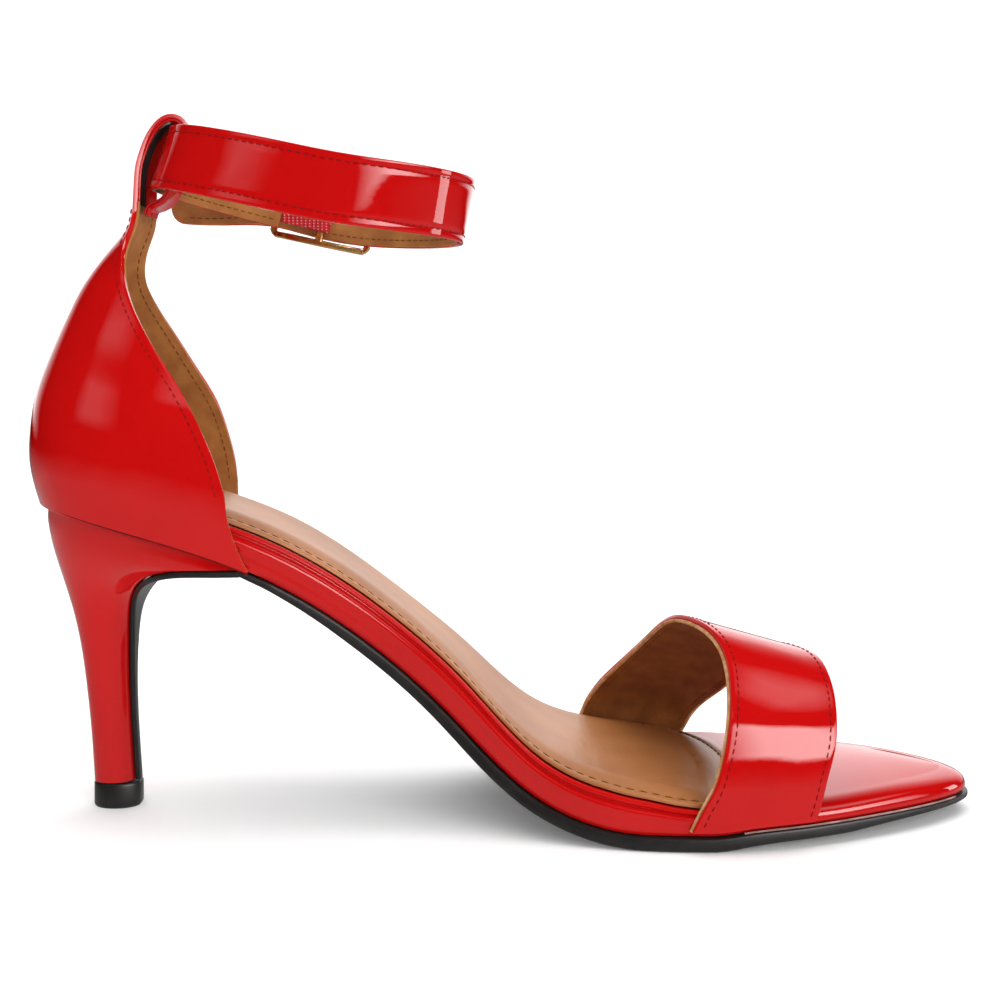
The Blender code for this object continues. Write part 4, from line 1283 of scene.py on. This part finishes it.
def make_strap_layer(name, line, levels, inset, groove, finish_name, stands_for=None):
    section = strap_section(STRAP_WIDTH / 2 - inset, *levels, groove)
    points = []
    for k in range(STRAP_STATIONS + 1):
        at = min(max(k / STRAP_STATIONS, inset / 0.25), 1 - inset / 0.25)
        place, up, out = strap_frame(line, at)
        left = np.linalg.norm(line(1) - place) / STRAP_END_ROUND
        narrow = math.sqrt(max(1 - (1 - min(left, 1)) ** 2, 0.12))
        points += [place + up * a * narrow + out * b for a, b in section]
    faces = rod_faces(STRAP_STATIONS + 1, len(section))
    return add_piece(name, points, faces, finish_name, stands_for, crease=55)


def where_at(line, x):
    """The share of the strap's route, on its outer layer, that lies at x."""
    return crossing(0.7, 1.0, lambda at: line(at)[0] > x)


def prong_crossing(line):
    """Where along x the prong comes through the strap's outer layer."""
    prong = route(prong_points())

    def inside(at):
        u, level = prong(at)
        x, y, z = buckle_place(u, 0.0, level)
        return y < line(where_at(line, x))[1] and u < BUCKLE_LENGTH / 4

    return line(where_at(line, BUCKLE_X + prong(crossing(0.0, 1.0, inside))[0]))[0]


def punch_holes(line, pieces):
    """Cuts the prong's hole and the spare ones beside it through the strap's layers."""
    prong_x = prong_crossing(line)
    points, faces = [], []
    sides = 20
    for hole in range(-2, 4):
        wide = (SPARE_HOLE if hole else PRONG_HOLE) / 2
        place, up, out = strap_frame(line, where_at(line, prong_x - hole * SPARE_HOLE_SPACING))
        faces += rod_faces(2, sides, len(points))
        for level in (-STRAP_THICK, STRAP_THICK):
            points += ring_points(place + out * level, np.cross(up, out) * wide, up * wide, sides)
    cutter = add_piece("hole_cutter", points, faces, "lining_edge")
    for piece in pieces:
        piece.modifiers.new("holes", "BOOLEAN").object = cutter
    graph = bpy.context.evaluated_depsgraph_get()
    for piece in pieces:
        cut_mesh = bpy.data.meshes.new_from_object(piece.evaluated_get(graph))
        piece.modifiers.clear()
        piece.data = cut_mesh
        piece.data.set_sharp_from_angle(angle=math.radians(45))
    bpy.data.objects.remove(cutter, do_unlink=True)


def make_ankle_strap():
    line = strap_route()
    thick = STRAP_THICK / 2
    outer, inner = (PATENT_FROM - thick, thick), (-thick, LINING_REACH - thick)
    patent = make_strap_layer("ankle_patent", line, outer, 0.0, 0.00010, "patent", "ankle_strap")
    lining = make_strap_layer("ankle_lining", line, inner, 0.00015, 0.0, "lining")
    punch_holes(line, [patent, lining])
    seam = STRAP_WIDTH / 2 - STITCH_INSET
    for edge, height in (("top", seam), ("bottom", -seam)):
        row = []
        for at in np.linspace(0.006, 0.975, 300):
            place, up, out = strap_frame(line, at)
            row.append((place + up * height, out))
        stitch_wall("ankle", edge, row, -thick, thick - 0.00008)


def buckle_place(u, v, level):
    """A point by its distance along, its height up and its level out from the strap's end."""
    forward = BUCKLE_FORWARD + u / ANKLE_LENGTH
    lean = math.radians(ankle_lean(forward))
    x, y, z = ankle_point(forward, buckled_side(forward), level)
    return x + v * math.sin(lean), y, z + v * math.cos(lean)


def plate(name, us, vs, windows, place, thick, finish_name, stands_for):
    """A bent plate: every cell of a grid but its windows, with a thickness."""

    def solid(i, j):
        if not (0 <= i < len(us) - 1 and 0 <= j < len(vs) - 1):
            return False
        u, v = (us[i] + us[i + 1]) / 2, (vs[j] + vs[j + 1]) / 2
        return not any(a < u < b and c < v < d for a, b, c, d in windows)

    index, points, faces = {}, [], []

    def corner(i, j, side):
        if (i, j, side) not in index:
            index[i, j, side] = len(points)
            points.append(place(us[i], vs[j], side * thick / 2))
        return index[i, j, side]

    for i in range(len(us) - 1):
        for j in range(len(vs) - 1):
            if not solid(i, j):
                continue
            ring = [(i, j), (i + 1, j), (i + 1, j + 1), (i, j + 1)]
            faces.append([corner(*c, 1) for c in ring])
            faces.append([corner(*c, -1) for c in ring[::-1]])
            for k, (di, dj) in enumerate(((0, -1), (1, 0), (0, 1), (-1, 0))):
                if not solid(i + di, j + dj):
                    a, b = ring[k], ring[(k + 1) % 4]
                    faces.append([corner(*a, -1), corner(*b, -1), corner(*b, 1), corner(*a, 1)])
    return add_piece(name, points, faces, finish_name, stands_for)


def make_buckle_frame():
    """Two end bars, two rails that dip to the middle, and the centre bar across them."""
    end, bar = BUCKLE_LENGTH / 2, BUCKLE_BAR
    window = STRAP_WIDTH / 2 + BUCKLE_SIDE_ROOM
    rail = window + bar
    near = [bar / 2 + (end - 1.5 * bar) * k / 16 for k in range(17)]
    us = [-end] + [-u for u in near[::-1]] + near + [end]
    vs = [-rail, -window, -window / 2, 0.0, window / 2, window, rail]
    windows = [(-near[-1], -near[0], -window, window), (near[0], near[-1], -window, window)]

    def place(u, v, level):
        pull = 0.4 * bar if abs(u) == end and abs(v) == rail else 0.0
        level += END_BAR_LEVEL * min(abs(u) / (end - bar), 1.0) ** 2
        return buckle_place(math.copysign(abs(u) - pull, u), math.copysign(abs(v) - pull, v), level)

    made = plate("gold_frame", us, vs, windows, place, bar, "gold", "buckle_frame")
    soften(made, 0.22 * bar, 50)


def make_elastic():
    """The gusset sewn to the strap's end, folded round the buckle's centre bar."""
    turn = BAR_CORNER + CLEARANCE + ELASTIC_THICK / 2
    strap_end = (ANKLE_PLAN[0][0] - BUCKLE_FORWARD) * ANKLE_LENGTH + CLEARANCE * 1.5
    leg = []
    for forward, level in ((1.0, 0.37), (0.7, 0.5), (0.42, 0.8), (0.2, 1.0)):
        leg.append((forward * strap_end, level * turn))
    path = list(leg)
    for k in range(17):
        angle = math.pi / 2 - math.pi * k / 16
        path.append((turn * math.cos(angle), turn * math.sin(angle)))
    line = np.array(path + [(u, -level) for u, level in leg[::-1]])
    away = left_of(line)

    def place(step, v, level):
        u, out = line[int(step)] + away[int(step)] * level
        return buckle_place(u, v, out)

    half, slot = ELASTIC_WIDTH / 2, ELASTIC_SLOT / 2
    vs = [-half, -half / 2, -slot, slot, half / 2, half]
    slots = [(2, len(line) - 3, -slot, slot)]
    steps = list(range(len(line)))
    plate("elastic_webbing", steps, vs, slots, place, ELASTIC_THICK, "elastic", "elastic")


def prong_points():
    """The prong in the buckle's own plane: hooked round the bar, up through the strap, along."""
    hook = BAR_CORNER + CLEARANCE + PRONG_THICK / 2
    over = CENTRE_LIFT + STRAP_THICK / 2 + CLEARANCE + PRONG_THICK
    end_u = BUCKLE_LENGTH / 2 - BUCKLE_BAR / 2
    end_level = END_BAR_LEVEL + BUCKLE_BAR / 2 + CLEARANCE + PRONG_THICK / 2
    points = []
    for degrees in (195, 225, 255, 285, 315, 345):
        angle = math.radians(degrees)
        points.append((hook * math.cos(angle), hook * math.sin(angle)))
    points += [(1.6 * hook, 0.5 * over), (2.35 * hook, 0.9 * over), (3.4 * hook, 1.06 * over)]
    points += [(end_u - BUCKLE_BAR, end_level), (end_u + BUCKLE_BAR, end_level)]
    return points


def make_prong():
    prong = route(prong_points())
    line = np.array([prong(k / PRONG_STATIONS) for k in range(PRONG_STATIONS + 1)])
    sides = 16
    rings = []
    for k, ((u, level), away) in enumerate(zip(line, left_of(line))):
        left = min(k, PRONG_STATIONS - k) / 3
        reach = PRONG_THICK / 2 * math.sqrt(max(1 - (1 - min(left, 1)) ** 2, 0.06))
        ring = []
        for side in range(sides):
            angle = 2 * math.pi * side / sides
            step = away * reach * math.cos(angle)
            ring.append(buckle_place(u + step[0], reach * math.sin(angle), level + step[1]))
        rings.append(ring)
    loft("gold_prong", rings, "gold", "buckle_prong", crease=60)


WHITE = (1.0, 1.0, 1.0, 1.0)
PAPER_GREY = (0.93, 0.93, 0.93, 1.0)
PAPER_GLOW = 0.10
# How far the paper reaches to the front, to where it bends up, up the wall and to each side
SWEEP_FRONT, SWEEP_BEND, SWEEP_HEIGHT, SWEEP_HALF = -1.3, 0.9, 1.6, 2.4
SWEEP_RADIUS = 0.5
SWEEP_STEPS = 24


def make_paper():
    made, tree, shader = fresh_material("pale_paper")
    looks = {"Base Color": PAPER_GREY, "Roughness": 0.95}
    glow = {"Emission Color": WHITE, "Emission Strength": PAPER_GLOW}
    set_inputs(tree, shader, {**looks, **glow})
    return made


def make_studio():
    """A pale floor that curves up into a wall behind the sandal."""
    profile = [(SWEEP_FRONT, 0.0), (SWEEP_BEND, 0.0)]
    for k in range(1, SWEEP_STEPS + 1):
        angle = math.pi / 2 * k / SWEEP_STEPS
        rise = SWEEP_RADIUS * (1 - math.cos(angle))
        profile.append((SWEEP_BEND + SWEEP_RADIUS * math.sin(angle), rise))
    profile.append((SWEEP_BEND + SWEEP_RADIUS, SWEEP_HEIGHT))
    points = [(x, y, z) for y, z in profile for x in (-SWEEP_HALF, SWEEP_HALF)]
    faces = [[k, k + 1, k + 3, k + 2] for k in range(0, len(points) - 2, 2)]
    mesh = fresh_mesh("studio_sweep", points, faces)
    mesh.shade_smooth()
    mesh.materials.append(make_paper())
    sweep = bpy.data.objects.new("studio_sweep", mesh)
    sweep.visible_glossy = False
    bpy.context.scene.collection.objects.link(sweep)


def add_light(name, place, aim, size, radiance, kind):
    """A rectangular soft light, by its size, how bright its face is and its kind."""
    light = bpy.data.lights.new(name, "AREA")
    light.shape = "RECTANGLE"
    light.size, light.size_y = size
    light.energy = radiance * math.pi * size[0] * size[1]
    made = bpy.data.objects.new(name, light)
    made.location = place
    made.rotation_euler = (Vector(aim) - Vector(place)).to_track_quat("-Z", "Y").to_euler()
    made.visible_glossy = kind != "fill"
    made.visible_diffuse = kind != "shine"
    made.visible_camera = False
    bpy.context.scene.collection.objects.link(made)


def product(tree, *values):
    """Values multiplied together, one after another."""
    made = values[0]
    for value in values[1:]:
        made = combined(tree, "MULTIPLY", made, value)
    return made


def patch(tree, around, up, name):
    """A soft-edged patch of brightness, the product of ramps round and up the room."""
    turns, rises, strength = GLOWS[name]
    turns = [math.radians(turn) for turn in turns]
    return product(
        tree,
        scaled(tree, around, *turns[:2], 0, strength),
        scaled(tree, around, *turns[2:], 1, 0),
        scaled(tree, up, *rises[:2], 0, 1),
        scaled(tree, up, *rises[2:], 1, 0),
    )


def make_room():
    """A white room to look at; in reflections its front is dark above a pale floor."""
    world = bpy.data.worlds.new("studio_room")
    world.use_nodes = True
    tree = world.node_tree
    ray = tree.nodes.new("ShaderNodeLightPath")
    way = tree.nodes.new("ShaderNodeSeparateXYZ")
    set_inputs(tree, way, {"Vector": node(tree, "TexCoord", "Generated")})
    x, y, z = way.outputs
    around = combined(tree, "ARCTAN2", x, scaled(tree, y, -1, 1, 1, -1))
    floor_glow = scaled(tree, z, *FLOOR_FADE, FLOOR_GLOW, 0)
    wall_shape = product(tree, scaled(tree, z, *WALL_FOOT), scaled(tree, z, *WALL_TOP, 1, 0))
    wall_glow = product(tree, wall_shape, scaled(tree, y, *WALL_SIDE, 0.0, WALL_GLOW))
    strength = combined(tree, "ADD", floor_glow, wall_glow)
    for name in GLOWS:
        glow = product(tree, patch(tree, around, z, name), ray.outputs["Is Glossy Ray"])
        strength = combined(tree, "ADD", strength, glow)
    felt = node(tree, "Background", 0, {"Strength": strength})
    seen = tree.nodes["Background"]
    set_inputs(tree, seen, {"Color": WHITE})
    shares = {"Fac": ray.outputs["Is Camera Ray"], 1: felt, 2: seen.outputs[0]}
    picked = node(tree, "MixShader", 0, shares)
    set_inputs(tree, tree.nodes["World Output"], {"Surface": picked})
    bpy.context.scene.world = world


# How bright the floor and the wall behind are in reflections, and where they fade, as heights
# and a depth on a unit ball
FLOOR_GLOW = 0.70
WALL_GLOW = 2.4
FLOOR_FADE = (-0.22, -0.02)
WALL_FOOT = (0.0, 0.03)
WALL_TOP = (0.45, 0.75)
WALL_SIDE = (0.45, 0.80)
# The bright patches in reflections: where each fades in and out, as degrees to the right of the
# front and as heights on a unit ball, and how bright it is
GLOWS = {
    "window": ((10, 34, 58, 84), (0.020, 0.055, 0.42, 0.49), 15.0),
    "side_window": ((55, 75, 95, 115), (0.66, 0.74, 0.82, 0.90), 2.6),
    "left_screen": ((-58, -48, -38, -26), (0.20, 0.30, 0.60, 0.72), 1.5),
    "ceiling_strip": ((-14, -4, 14, 24), (0.60, 0.66, 0.74, 0.80), 1.6),
}
# Each light: its place, its width and height, how bright its face is, and whether it is a fill
# that leaves no reflection or a shine that only shows in reflections
LIGHTS = {
    "right_strip": ((1.5, 0.30, 0.20), (0.30, 0.55), 6.0, "shine"),
    "fill_above": ((0.0, 0.1, 1.7), (2.6, 2.6), 1.90, "fill"),
    "fill_front": ((0.5, -1.6, 0.7), (2.0, 1.2), 3.30, "fill"),
    "wall_wash": ((0.0, 0.1, 1.5), (2.4, 0.8), 1.6, "fill"),
}
SANDAL_AIM = (-0.02, 0.0, 0.07)
WALL_AIM = (0.0, 1.3, 0.5)


def make_lights():
    bpy.context.scene.view_settings.view_transform = "Standard"
    for name, (place, size, radiance, kind) in LIGHTS.items():
        aim = WALL_AIM if name == "wall_wash" else SANDAL_AIM
        add_light(name, place, aim, size, radiance, kind)


# The camera is level. A point of the photo at PHOTO_CENTRE is straight ahead of it.
PHOTO_SIZE = 1001
PHOTO_CENTRE = (480.0, 371.0)
FOCAL_PIXELS = 1411.0
SENSOR_WIDTH = 36.0
CAMERA_PLACE = (-0.046, -0.3485, 0.1066)


def make_camera():
    camera = bpy.data.cameras.new("camera")
    camera.sensor_width = SENSOR_WIDTH
    camera.lens = SENSOR_WIDTH * FOCAL_PIXELS / PHOTO_SIZE
    camera.clip_start = 0.01
    camera.clip_end = 50.0
    camera.shift_x = (PHOTO_SIZE / 2 - PHOTO_CENTRE[0]) / PHOTO_SIZE
    camera.shift_y = (PHOTO_CENTRE[1] - PHOTO_SIZE / 2) / PHOTO_SIZE
    made = bpy.data.objects.new("camera", camera)
    made.location = CAMERA_PLACE
    made.rotation_euler = (math.pi / 2, 0, 0)
    bpy.context.scene.collection.objects.link(made)
    bpy.context.scene.camera = made


make_camera()
make_studio()
make_room()
make_lights()
make_outsole()
make_board()
make_sock()
make_heel()
make_top_piece()
make_counter()
make_vamp_strap()
make_ankle_strap()
make_elastic()
make_buckle_frame()
make_prong()
